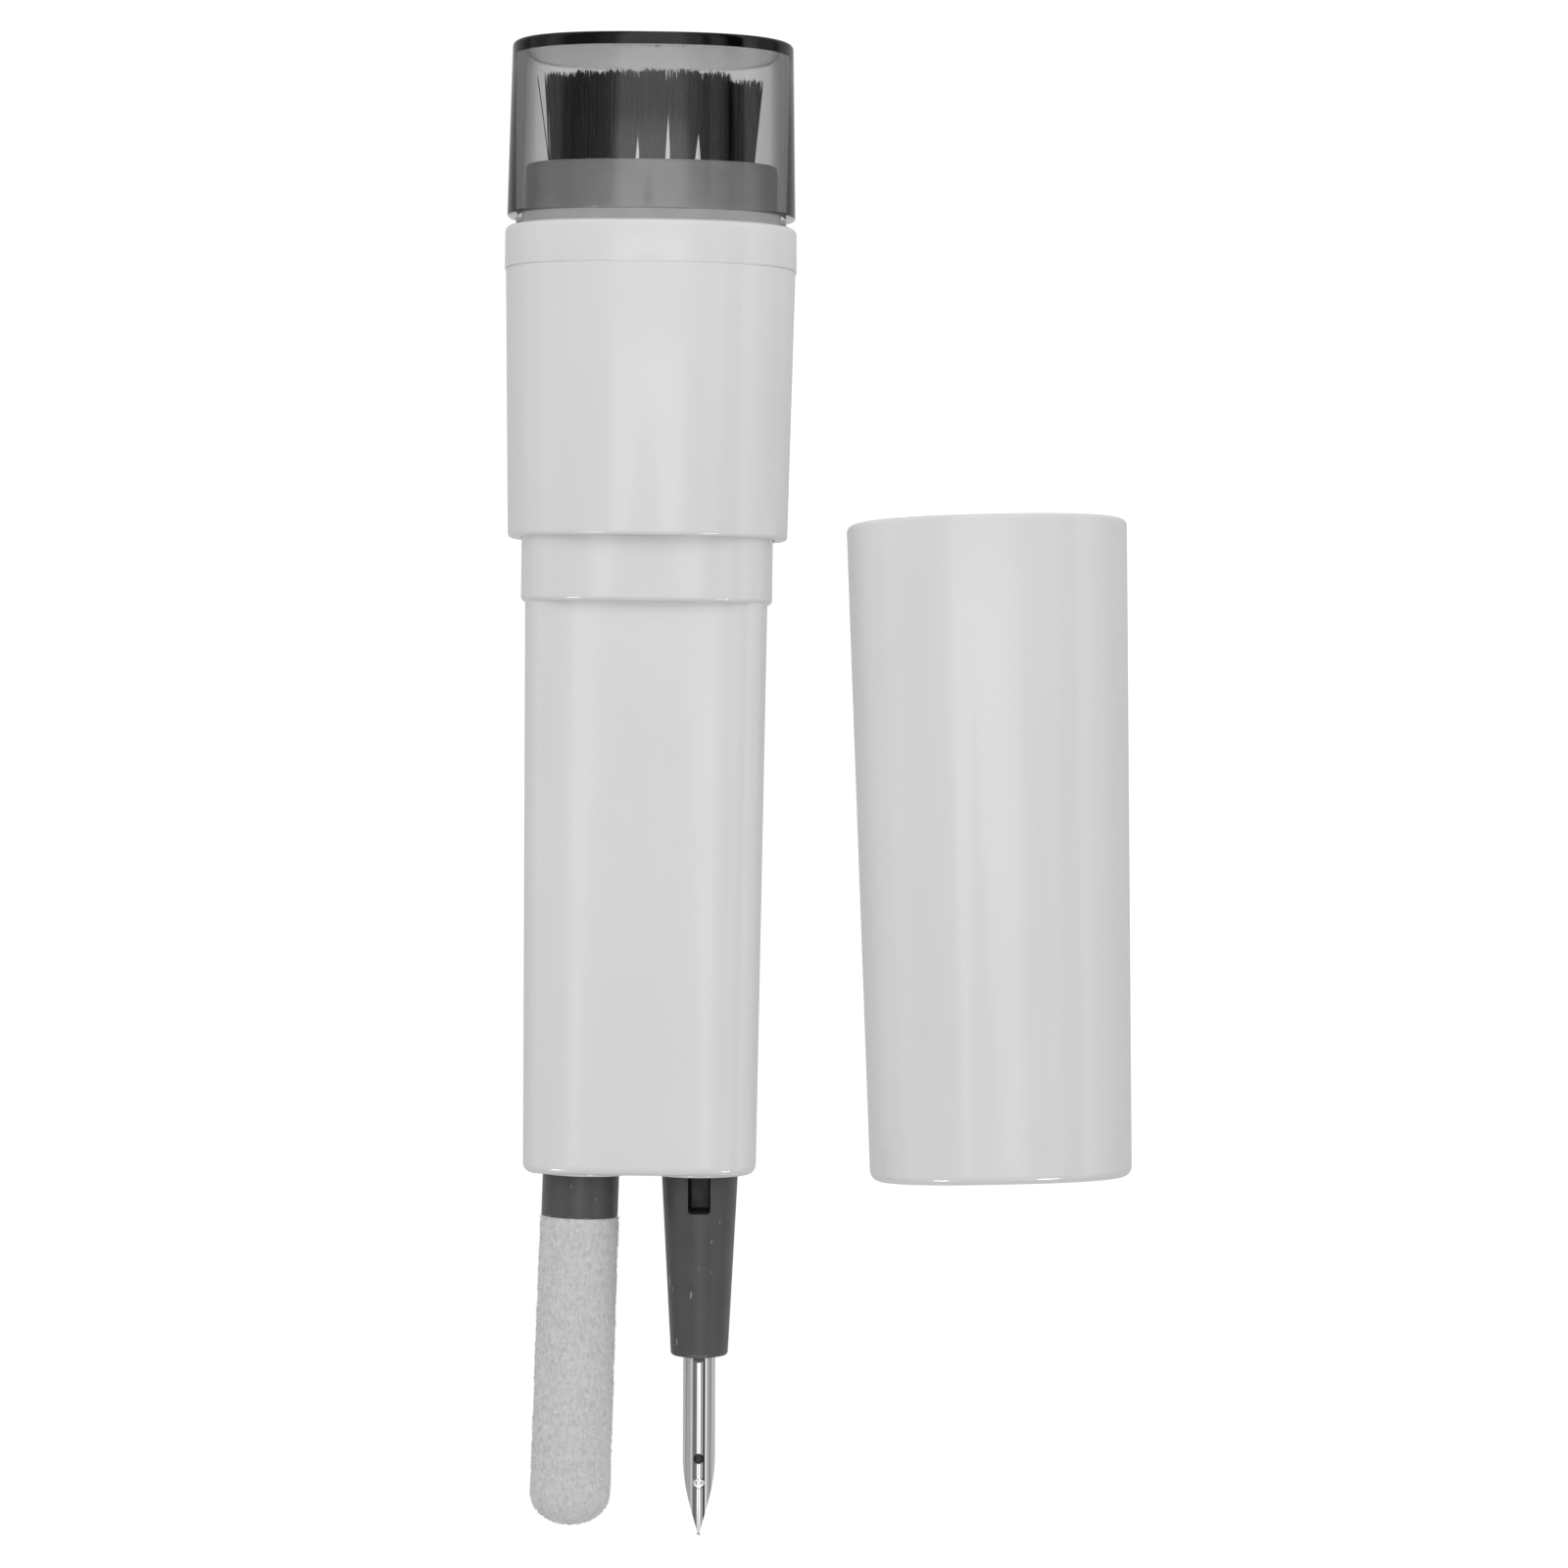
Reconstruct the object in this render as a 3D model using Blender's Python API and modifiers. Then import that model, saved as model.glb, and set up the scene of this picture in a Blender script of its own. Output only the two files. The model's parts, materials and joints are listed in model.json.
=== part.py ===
"""Three-tool lens cleaning pen, lying on its broad side with its main cap beside it.

The pen runs along Y. Its bristle brush is at +Y under a tinted dust cap, and its sponge and its metal
nib come out of the other end. Each tool slides along its own axis into the barrel. Metres, +Z up.
"""

import math

import bmesh
import bpy

MM = 0.001

# Sections: the power of the pen's oval, a superellipse, where 2 would be an ellipse.
OVAL_POWER = 2.5
OVAL_SEGMENTS = 48
ROUND_SEGMENTS = 24

# Driving sizes of the pen.
PEN_LENGTH = 126.38 * MM
PEN_HALF_DEPTH = 7.5 * MM
WALL = 1.1 * MM
GAP = 0.3 * MM
PEN_AXIS_X = -14.68 * MM

# Stations along the pen, from its middle.
TOP_END = PEN_LENGTH / 2
DUST_CAP_RIM = 48.5 * MM
BLOCK_TOP = 52.75 * MM
BLOCK_FOOT = 38.0 * MM
COLLAR_TOP = 47.6 * MM
SEAM = 44.0 * MM
SHOULDER = 21.2 * MM
BARREL_TOP = 15.7 * MM
BARREL_END = -32.4 * MM

# Half widths along the pen.
COLLAR_HALF_WIDTH = 12.4 * MM
SHELL_TOP_HALF_WIDTH = 12.3 * MM
SHELL_FOOT_HALF_WIDTH = 11.87 * MM
DUST_CAP_RIM_HALF_WIDTH = 12.25 * MM
DUST_CAP_END_HALF_WIDTH = 11.95 * MM
DUST_CAP_HALF_DEPTH = 7.4 * MM
DUST_CAP_WALL = 1.0 * MM
BLOCK_HALF_WIDTH = 10.9 * MM
BLOCK_HALF_DEPTH = 6.1 * MM
SEAT_HALF_WIDTH = 10.65 * MM
SEAT_HALF_DEPTH = 6.25 * MM
BARREL_TOP_HALF_WIDTH = 10.25 * MM
BARREL_END_HALF_WIDTH = 9.85 * MM
BARREL_HALF_DEPTH = 5.25 * MM
BARREL_CORNER = 4.5 * MM
BARREL_WALL = 1.0 * MM

# Brush.
TUFT_COLUMNS = 7
TUFT_PITCH = 2.6 * MM
TUFT_TOP = 60.7 * MM
TUFT_HOLE_RADIUS = 1.05 * MM
TUFT_ROOT_RADIUS = 0.75 * MM
TUFT_TIP_RADIUS = 1.2 * MM
TUFT_HOLE_DEPTH = 3.0 * MM
RIB_REACH = 11.45 * MM
RIB_DEPTH = 3.2 * MM
RIB_HEIGHT = 0.3 * MM
RIB_MIDDLE = 48.05 * MM

# Tools. Each has its own axis, and its local Y is 0 at the barrel's end and negative outside it.
SPONGE_AXIS_X = -5.0 * MM
SPONGE_LEAN = math.radians(-1.3)
NIB_AXIS_X = 5.1 * MM
NIB_LEAN = math.radians(0.5)
HOLDER_RADIUS = 3.25 * MM
SOCKET_RADIUS = HOLDER_RADIUS + GAP
SOCKET_RIM_RADIUS = 4.05 * MM
SOCKET_RIM_HEIGHT = 0.3 * MM
HOLDER_INSIDE = 7.0 * MM
GROOVE_MIDDLE = 4.5 * MM
GROOVE_RADIUS = 2.5 * MM
GROOVE_HALF_WIDTH = 0.65 * MM
GRIP_RING_MAJOR = 3.12 * MM
GRIP_RING_MINOR = 0.3 * MM
CHANNEL_RADIUS = 3.7 * MM
CORE_RADIUS = 1.2 * MM
SPONGE_HOLDER_OUTSIDE = 3.95 * MM
SPONGE_RADIUS = 3.3 * MM
SPONGE_TIP = -30.12 * MM
NIB_HOLDER_END = -15.6 * MM
NIB_HOLDER_END_RADIUS = 2.42 * MM
NIB_RADIUS = 1.375 * MM
NIB_SHEET = 0.2 * MM
NIB_ROOT = -9.6 * MM
NIB_TIP = -30.79 * MM
NIB_FEED_RADIUS = 0.85 * MM
NIB_FEED_END = -25.5 * MM
BREATHER_RADIUS = 0.44 * MM
BREATHER_Y = -24.3 * MM
SLOT_WIDTH = 1.9 * MM
SLOT_END = -3.45 * MM

# Divider between the two tools, inside the barrel.
GUIDE_HALF_WIDTH = 3.6 * MM
GUIDE_HALF_DEPTH = 3.95 * MM
GUIDE_FOOT = -29.9 * MM
GUIDE_TOP = 8.4 * MM

# Main cap, laid beside the pen. Its local Y is 0 at the mouth and negative towards the closed end.
CAP_MOUTH_X = 14.12 * MM
CAP_MOUTH_Y = 22.8 * MM
CAP_LEAN = math.radians(1.95)
CAP_LENGTH = 55.5 * MM
CAP_MOUTH_HALF_WIDTH = 11.9 * MM
CAP_MOUTH_BOW = 0.55 * MM
CAP_END_HALF_WIDTH = 11.1 * MM

parts = None
cutters = None
materials = {}


def clear_scene():
    """Removes the objects of the open file."""
    for item in list(bpy.data.objects):
        bpy.data.objects.remove(item)


def make_collections():
    """Makes the collection of the pen's parts and the one of its cutters."""
    global parts, cutters
    parts = bpy.data.collections.new("lens_cleaning_pen")
    cutters = bpy.data.collections.new("cutters")
    bpy.context.scene.collection.children.link(parts)
    bpy.context.scene.collection.children.link(cutters)


def add_material(name, colour, roughness, metallic=0.0, transmission=0.0):
    """Stores a Principled material under its name."""
    made = bpy.data.materials.new(name)
    made.use_nodes = True
    shader = made.node_tree.nodes["Principled BSDF"]
    shader.inputs["Base Color"].default_value = (*colour, 1.0)
    shader.inputs["Roughness"].default_value = roughness
    shader.inputs["Metallic"].default_value = metallic
    shader.inputs["Transmission Weight"].default_value = transmission
    materials[name] = made


def make_materials():
    """The pen's plastics, bristle, flock and metal."""
    add_material("white_plastic", (0.80, 0.80, 0.80), 0.28)
    add_material("smoke_clear_plastic", (0.42, 0.42, 0.43), 0.08, transmission=0.9)
    add_material("light_grey_plastic", (0.40, 0.40, 0.41), 0.42)
    add_material("dark_grey_plastic", (0.095, 0.095, 0.10), 0.45)
    add_material("black_bristle", (0.02, 0.02, 0.02), 0.55)
    add_material("grey_flock", (0.50, 0.50, 0.50), 0.95)
    add_material("polished_steel", (0.75, 0.75, 0.76), 0.08, metallic=1.0)
    add_material("black_rubber", (0.03, 0.03, 0.03), 0.7)


def finish(item, material, parent, collection=None):
    """Puts an object in its collection, under its parent, with its material."""
    for holder in list(item.users_collection):
        holder.objects.unlink(item)
    (collection or parts).objects.link(item)
    item.parent = parent
    if material:
        item.data.materials.clear()
        item.data.materials.append(materials[material])
    return item


def add_axis(name, x, y, z, turn=0.0):
    """An empty that carries the pieces on one axis."""
    axis = bpy.data.objects.new(name, None)
    axis.location = (x, y, z)
    axis.rotation_euler.z = turn
    parts.objects.link(axis)
    return axis


def shade(item):
    """Smooth shading with the true edges kept sharp."""
    item.data.shade_smooth()
    item.data.set_sharp_from_angle(angle=math.radians(35))


def oval_point(step, half_width, half_depth):
    """A point of the oval. The steps straddle the axes, so its top, sides and underside are flat strips."""
    turn = 2 * math.pi * (step + 0.5) / OVAL_SEGMENTS
    grow = math.cos(math.pi / OVAL_SEGMENTS) ** (-2 / OVAL_POWER)
    across, up = math.cos(turn), math.sin(turn)
    x = half_width * grow * math.copysign(abs(across) ** (2 / OVAL_POWER), across)
    z = half_depth * grow * math.copysign(abs(up) ** (2 / OVAL_POWER), up)
    return x, z


def rounded_point(step, half_width, half_depth, corner):
    """A point of the flat-sided section, a rectangle with round corners."""
    quarter = OVAL_SEGMENTS // 4
    turn = math.radians(90) * (step // quarter + step % quarter / (quarter - 1))
    middle = math.radians(90) * (step // quarter + 0.5)
    x = math.copysign(half_width - corner, math.cos(middle)) + corner * math.cos(turn)
    z = math.copysign(half_depth - corner, math.sin(middle)) + corner * math.sin(turn)
    return x, z


def section_ring(bm, y, half_width, half_depth, corner=None, bow=0.0):
    """One closed loop of vertices round the Y axis: an oval, or a rectangle if it has a corner radius.

    bow is how much further along Y its front and back are than its sides.
    """
    ring = []
    for step in range(OVAL_SEGMENTS):
        if corner is None:
            x, z = oval_point(step, half_width, half_depth)
        else:
            x, z = rounded_point(step, half_width, half_depth, corner)
        ring.append(bm.verts.new((x, y + bow * abs(z) / half_depth, z)))
    return ring


def join_rings(bm, near, far):
    """A band of faces between two loops."""
    for step in range(OVAL_SEGMENTS):
        following = (step + 1) % OVAL_SEGMENTS
        bm.faces.new((near[step], near[following], far[following], far[step]))


def oval_body(name, stations, material, parent, open_through=False, rounded=None):
    """A body lofted through loops, each given as (y, half width, half depth, corner radius, bow).

    A loop's corner radius and bow may be left out. The loops run down the outside and back up the
    inside. open_through joins the last to the first, for a sleeve; otherwise the first and the last
    are filled. rounded maps a loop's number to the radius of its edge.
    """
    bm = bmesh.new()
    rings = [section_ring(bm, *station) for station in stations]
    for near, far in zip(rings, rings[1:]):
        join_rings(bm, near, far)
    if open_through:
        join_rings(bm, rings[-1], rings[0])
    else:
        bm.faces.new(rings[0])
        bm.faces.new(rings[-1])
    bmesh.ops.recalc_face_normals(bm, faces=bm.faces)
    for number, radius in (rounded or {}).items():
        ring = rings[number]
        edges = [bm.edges.get((vert, ring[step - 1])) for step, vert in enumerate(ring)]
        bmesh.ops.bevel(bm, geom=edges, offset=radius, segments=3, profile=0.5, affect="EDGES")
    mesh = bpy.data.meshes.new(name)
    bm.to_mesh(mesh)
    bm.free()
    item = finish(bpy.data.objects.new(name, mesh), material, parent)
    shade(item)
    return item


def turned(name, profile, material, parent):
    """A body turned about its local Y axis, from (radius, y) points that run top to bottom outside."""
    mesh = bpy.data.meshes.new(name)
    points = [(radius, y, 0.0) for radius, y in profile]
    mesh.from_pydata(points, [(i, i + 1) for i in range(len(points) - 1)], [])
    item = finish(bpy.data.objects.new(name, mesh), material, parent)
    screw = item.modifiers.new("turn", "SCREW")
    screw.axis = "Y"
    screw.steps = ROUND_SEGMENTS
    screw.render_steps = ROUND_SEGMENTS
    screw.use_merge_vertices = True
    screw.merge_threshold = 0.00001
    screw.use_smooth_shade = True
    return item


def rod_cutter(name, radius, low, high, parent, x=0.0, z=0.0, sides=ROUND_SEGMENTS):
    """A cutting cylinder along the parent's Y axis, from low to high."""
    bpy.ops.mesh.primitive_cylinder_add(vertices=sides, radius=radius, depth=high - low)
    item = finish(bpy.context.object, None, parent, cutters)
    item.name = name
    item.location = (x, (low + high) / 2, z)
    item.rotation_euler = (math.radians(90), 0, 0)
    return hide(item)


def box_body(name, size, location, parent, collection=None, material=None):
    """A box of the given full size, centred on location."""
    bpy.ops.mesh.primitive_cube_add(size=1)
    item = finish(bpy.context.object, material, parent, collection)
    item.name = name
    item.location = location
    item.data.transform(((size[0], 0, 0, 0), (0, size[1], 0, 0), (0, 0, size[2], 0), (0, 0, 0, 1)))
    return item


def hide(item):
    """Marks a cutter, so that it is not part of the model."""
    item.hide_render = True
    item.display_type = "WIRE"
    return item


def combine(item, tool, operation):
    """Cuts a hidden tool from an object, or joins it on."""
    step = item.modifiers.new(tool.name, "BOOLEAN")
    step.operation = operation
    step.solver = "EXACT"
    step.object = tool


def arc(centre_radius, centre_y, radius, start, end, steps):
    """Points of a round stretch of a turned profile, with angles in degrees from +X towards +Y."""
    turns = [math.radians(start + (end - start) * i / steps) for i in range(steps + 1)]
    return [(centre_radius + radius * math.cos(t), centre_y + radius * math.sin(t)) for t in turns]


def make_dust_cap(pen):
    """The tinted clear cap over the brush: a flat-ended oval cup, mouth down."""
    inner_width = DUST_CAP_END_HALF_WIDTH - DUST_CAP_WALL
    inner_depth = DUST_CAP_HALF_DEPTH - DUST_CAP_WALL
    stations = [
        (TOP_END, DUST_CAP_END_HALF_WIDTH, DUST_CAP_HALF_DEPTH),
        (DUST_CAP_RIM, DUST_CAP_RIM_HALF_WIDTH, DUST_CAP_HALF_DEPTH),
        (DUST_CAP_RIM, DUST_CAP_RIM_HALF_WIDTH - DUST_CAP_WALL, inner_depth),
        (TOP_END - DUST_CAP_WALL, inner_width, inner_depth),
    ]
    oval_body("brush_dust_cap", stations, "smoke_clear_plastic", pen, rounded={0: 0.4 * MM})


def tuft_places():
    """Each tuft's column, row, x and z: three rows deep in the middle and two at the ends."""
    for column in range(TUFT_COLUMNS):
        ends = column in (0, TUFT_COLUMNS - 1)
        rows = 2 if ends else 3
        x = (column - (TUFT_COLUMNS - 1) / 2) * TUFT_PITCH
        for row in range(rows):
            yield column + 1, row + 1, x, (row - (rows - 1) / 2) * TUFT_PITCH


def make_brush_block(pen):
    """The grey block that carries the tufts, with its neck, its plug and the dust cap's two stop ribs."""
    stations = [
        (BLOCK_TOP, BLOCK_HALF_WIDTH, BLOCK_HALF_DEPTH),
        (BLOCK_FOOT, BLOCK_HALF_WIDTH, BLOCK_HALF_DEPTH),
    ]
    block = oval_body("brush_block", stations, "light_grey_plastic", pen, rounded={0: 0.3 * MM})
    for side, word in ((-1, "left"), (1, "right")):
        rib_width = 1.6 * MM
        place = (side * (RIB_REACH - rib_width / 2), RIB_MIDDLE, 0)
        rib = box_body(word + "_rib", (rib_width, RIB_HEIGHT, RIB_DEPTH), place, pen, cutters)
        combine(block, hide(rib), "UNION")
    for column, row, x, z in tuft_places():
        name = f"tuft_hole_{column}_{row}"
        low = BLOCK_TOP - TUFT_HOLE_DEPTH
        hole = rod_cutter(name, TUFT_HOLE_RADIUS, low, BLOCK_TOP + MM, pen, x, z, sides=10)
        combine(block, hole, "DIFFERENCE")


def make_tufts(pen):
    """The bristle tufts, each a bundle that spreads from its hole to its trimmed tip."""
    foot = BLOCK_TOP - TUFT_HOLE_DEPTH + GAP
    for column, row, x, z in tuft_places():
        bpy.ops.mesh.primitive_cone_add(
            vertices=10,
            radius1=TUFT_TIP_RADIUS,
            radius2=TUFT_ROOT_RADIUS,
            depth=TUFT_TOP - foot,
        )
        tuft = finish(bpy.context.object, "black_bristle", pen)
        tuft.name = f"bristle_tuft_{column}_{row}"
        tuft.location = (x, (TUFT_TOP + foot) / 2, z)
        tuft.rotation_euler = (math.radians(90), 0, 0)


def make_collar(pen):
    """The white ring round the brush's neck."""
    foot = SEAM + GAP / 2
    inner_width = BLOCK_HALF_WIDTH + GAP
    inner_depth = BLOCK_HALF_DEPTH + GAP
    stations = [
        (COLLAR_TOP, COLLAR_HALF_WIDTH, PEN_HALF_DEPTH),
        (foot, COLLAR_HALF_WIDTH, PEN_HALF_DEPTH),
        (foot, inner_width, inner_depth),
        (COLLAR_TOP, inner_width, inner_depth),
    ]
    oval_body("collar_ring", stations, "white_plastic", pen, True, {0: 0.45 * MM})


def make_upper_shell(pen):
    """The oval grip shell, open at both ends."""
    top = SEAM - GAP / 2
    inner_depth = PEN_HALF_DEPTH - WALL
    stations = [
        (top, SHELL_TOP_HALF_WIDTH, PEN_HALF_DEPTH),
        (SHOULDER, SHELL_FOOT_HALF_WIDTH, PEN_HALF_DEPTH),
        (SHOULDER, SHELL_FOOT_HALF_WIDTH - WALL, inner_depth),
        (top, SHELL_TOP_HALF_WIDTH - WALL, inner_depth),
    ]
    oval_body("upper_shell", stations, "white_plastic", pen, True, {1: 0.35 * MM})


def make_seat_coupler(pen):
    """The sleeve that joins the shell to the barrel. Its middle band is the main cap's seat."""
    band_top = SHOULDER - GAP
    band_foot = BARREL_TOP + GAP
    sleeve_top = SHOULDER + 6.8 * MM
    plug_foot = 9.0 * MM
    sleeve = (SHELL_FOOT_HALF_WIDTH - WALL - GAP, PEN_HALF_DEPTH - WALL - GAP)
    plug_inset = BARREL_WALL + GAP
    plug = (BARREL_TOP_HALF_WIDTH - plug_inset, BARREL_HALF_DEPTH - plug_inset, BARREL_CORNER - plug_inset)
    plug_bore = tuple(size - WALL for size in plug)
    stations = [
        (sleeve_top, *sleeve),
        (band_top, *sleeve),
        (band_top, SEAT_HALF_WIDTH, SEAT_HALF_DEPTH),
        (band_foot, SEAT_HALF_WIDTH, SEAT_HALF_DEPTH),
        (band_foot, *plug),
        (plug_foot, *plug),
        (plug_foot, *plug_bore),
        (band_foot + WALL, *plug_bore),
        (band_foot + WALL, sleeve[0] - WALL, sleeve[1] - WALL),
        (sleeve_top, sleeve[0] - WALL, sleeve[1] - WALL),
    ]
    oval_body("seat_coupler", stations, "white_plastic", pen, True)


def make_lower_barrel(pen, sponge_axis, nib_axis):
    """The barrel that houses the tools, closed but for their two rimmed sockets."""
    floor = BARREL_END + 2.0 * MM
    inner_depth = BARREL_HALF_DEPTH - BARREL_WALL
    inner_corner = BARREL_CORNER - BARREL_WALL
    stations = [
        (BARREL_END, BARREL_END_HALF_WIDTH, BARREL_HALF_DEPTH, BARREL_CORNER),
        (BARREL_TOP, BARREL_TOP_HALF_WIDTH, BARREL_HALF_DEPTH, BARREL_CORNER),
        (BARREL_TOP, BARREL_TOP_HALF_WIDTH - BARREL_WALL, inner_depth, inner_corner),
        (floor, BARREL_END_HALF_WIDTH - BARREL_WALL, inner_depth, inner_corner),
    ]
    barrel = oval_body("lower_barrel", stations, "white_plastic", pen, rounded={0: 0.9 * MM})
    for axis, word in ((sponge_axis, "sponge"), (nib_axis, "nib")):
        rim = rod_cutter(word + "_socket_rim", SOCKET_RIM_RADIUS, -SOCKET_RIM_HEIGHT, MM, axis)
        combine(barrel, rim, "UNION")
        hole = rod_cutter(word + "_socket", SOCKET_RADIUS, -2 * MM, 3 * MM, axis)
        combine(barrel, hole, "DIFFERENCE")


def make_tool_guide(pen, sponge_axis, nib_axis):
    """The divider in the barrel, with a hollow side for each tool to run along."""
    size = (2 * GUIDE_HALF_WIDTH, GUIDE_TOP - GUIDE_FOOT, 2 * GUIDE_HALF_DEPTH)
    place = (0, (GUIDE_TOP + GUIDE_FOOT) / 2, 0)
    guide = box_body("tool_guide", size, place, pen, material="light_grey_plastic")
    reach = GUIDE_TOP - BARREL_END
    for axis, word in ((sponge_axis, "sponge"), (nib_axis, "nib")):
        channel = rod_cutter(word + "_channel", CHANNEL_RADIUS, 0, reach + 2 * MM, axis)
        combine(guide, channel, "DIFFERENCE")


def holder_top():
    """The part of a holder's profile inside the barrel, which is the same on both tools."""
    return [
        (0, HOLDER_INSIDE),
        (HOLDER_RADIUS - 0.5 * MM, HOLDER_INSIDE),
        (HOLDER_RADIUS, HOLDER_INSIDE - 0.5 * MM),
        (HOLDER_RADIUS, GROOVE_MIDDLE + GROOVE_HALF_WIDTH),
        (GROOVE_RADIUS, GROOVE_MIDDLE + GROOVE_HALF_WIDTH),
        (GROOVE_RADIUS, GROOVE_MIDDLE - GROOVE_HALF_WIDTH),
        (HOLDER_RADIUS, GROOVE_MIDDLE - GROOVE_HALF_WIDTH),
    ]


def make_grip_ring(name, axis):
    """The rubber ring in a holder's groove, which holds the tool where it is put."""
    bpy.ops.mesh.primitive_torus_add(
        major_radius=GRIP_RING_MAJOR,
        minor_radius=GRIP_RING_MINOR,
        major_segments=ROUND_SEGMENTS,
        minor_segments=8,
    )
    ring = finish(bpy.context.object, "black_rubber", axis)
    ring.name = name
    ring.location = (0, GROOVE_MIDDLE, 0)
    ring.rotation_euler = (math.radians(90), 0, 0)


def make_sponge_tool(axis):
    """The sponge finger: its holder, its stem and the flocked sleeve."""
    end = -SPONGE_HOLDER_OUTSIDE
    bore = CORE_RADIUS + GAP
    profile = holder_top() + [
        (HOLDER_RADIUS, end + 0.3 * MM),
        (HOLDER_RADIUS - 0.3 * MM, end),
        (bore, end),
        (bore, MM - GAP),
        (0, MM - GAP),
    ]
    turned("sponge_holder", profile, "dark_grey_plastic", axis)
    make_grip_ring("sponge_grip_ring", axis)

    stem_end = SPONGE_TIP + 2.2 * MM
    stem = [(0, MM - 2 * GAP), (CORE_RADIUS, MM - 2 * GAP), (CORE_RADIUS, stem_end), (0, stem_end)]
    turned("sponge_core", stem, "light_grey_plastic", axis)

    sleeve_top = end - GAP
    bore_end = stem_end - GAP
    tip_centre = SPONGE_TIP + SPONGE_RADIUS
    sleeve = [(0, bore_end), (bore, bore_end), (bore, sleeve_top)]
    sleeve += [(SPONGE_RADIUS - 0.3 * MM, sleeve_top), (SPONGE_RADIUS, sleeve_top - 0.3 * MM)]
    sleeve += arc(0, tip_centre, SPONGE_RADIUS, 0, -90, 8)
    turned("sponge_sleeve", sleeve, "grey_flock", axis)


def make_nib_holder(axis):
    """The tapered holder of the nib, with its bore at the end and its slot on top."""
    bore = NIB_RADIUS + GAP
    bore_floor = NIB_ROOT + GAP
    profile = holder_top() + [
        (HOLDER_RADIUS, 0),
        (NIB_HOLDER_END_RADIUS, NIB_HOLDER_END + 0.5 * MM),
        (NIB_HOLDER_END_RADIUS - 0.45 * MM, NIB_HOLDER_END),
        (bore, NIB_HOLDER_END),
        (bore, bore_floor),
        (0, bore_floor),
    ]
    holder = turned("nib_holder", profile, "dark_grey_plastic", axis)
    slot_top = 1.2 * MM
    slot_floor = 1.4 * MM
    size = (SLOT_WIDTH, slot_top - SLOT_END, HOLDER_RADIUS)
    place = (0, (slot_top + SLOT_END) / 2, slot_floor + HOLDER_RADIUS / 2)
    slot = hide(box_body("nib_slot", size, place, axis, cutters))
    combine(holder, slot, "DIFFERENCE")
    make_grip_ring("nib_grip_ring", axis)


def nib_half_turn(y):
    """How far the rolled sheet reaches round each side at y, in radians: all round at the root,
    half round where the point starts, then closing to the tip."""
    seam = math.radians(174)
    gouge_start = -21.5 * MM
    point_start = -24.6 * MM
    if y >= gouge_start:
        return seam
    if y >= point_start:
        share = (gouge_start - y) / (gouge_start - point_start)
        return seam + (math.radians(90) - seam) * share
    share = (y - NIB_TIP) / (point_start - NIB_TIP)
    return math.asin(0.08 + 0.92 * math.sin(share * math.pi / 2) ** 1.35)


def make_nib_blade(axis):
    """The metal nib: a sheet rolled into a tube and cut to a point, with its breather hole."""
    across, along = 16, 18
    bm = bmesh.new()
    bmesh.ops.create_grid(bm, x_segments=across, y_segments=along, size=1.0)
    for vert in bm.verts:
        y = NIB_ROOT + (NIB_TIP - NIB_ROOT) * (1 - ((1 - vert.co.y) / 2) ** 1.8)
        turn = vert.co.x * nib_half_turn(y)
        vert.co = (NIB_RADIUS * math.sin(turn), y, NIB_RADIUS * math.cos(turn))
    bmesh.ops.recalc_face_normals(bm, faces=bm.faces)
    middle = min(bm.faces, key=lambda face: (abs(face.calc_center_median().x), face.index))
    if middle.normal.z * middle.calc_center_median().z < 0:
        bmesh.ops.reverse_faces(bm, faces=bm.faces)
    mesh = bpy.data.meshes.new("nib_blade")
    bm.to_mesh(mesh)
    bm.free()
    blade = finish(bpy.data.objects.new("nib_blade", mesh), "polished_steel", axis)
    thick = blade.modifiers.new("sheet", "SOLIDIFY")
    thick.thickness = NIB_SHEET
    thick.offset = -1
    hole = rod_cutter("breather_hole", BREATHER_RADIUS, 0, 2 * MM, axis)
    hole.location = (0, BREATHER_Y, NIB_RADIUS)
    hole.rotation_euler = (0, 0, 0)
    combine(blade, hole, "DIFFERENCE")


def make_nib_tool(axis):
    """The nib tool: its holder, the rolled nib and the core that shows through the breather hole."""
    make_nib_holder(axis)
    make_nib_blade(axis)
    feed = [(0, NIB_ROOT), (NIB_FEED_RADIUS, NIB_ROOT)]
    feed += arc(0, NIB_FEED_END + NIB_FEED_RADIUS, NIB_FEED_RADIUS, 0, -90, 4)
    turned("nib_feed", feed, "dark_grey_plastic", axis)


def make_main_cap():
    """The white cap for the tool end, a flat-ended oval cup with a bowed mouth, beside the pen."""
    axis = add_axis("main_cap_axis", CAP_MOUTH_X, CAP_MOUTH_Y, PEN_HALF_DEPTH, CAP_LEAN)
    inner_depth = PEN_HALF_DEPTH - WALL
    stations = [
        (-CAP_LENGTH, CAP_END_HALF_WIDTH, PEN_HALF_DEPTH),
        (0, CAP_MOUTH_HALF_WIDTH, PEN_HALF_DEPTH, None, CAP_MOUTH_BOW),
        (0, CAP_MOUTH_HALF_WIDTH - WALL, inner_depth, None, CAP_MOUTH_BOW),
        (-CAP_LENGTH + 1.4 * MM, CAP_END_HALF_WIDTH - WALL, inner_depth),
    ]
    rounded = {0: 0.8 * MM, 1: 0.35 * MM}
    oval_body("main_cap", stations, "white_plastic", axis, rounded=rounded)


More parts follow.
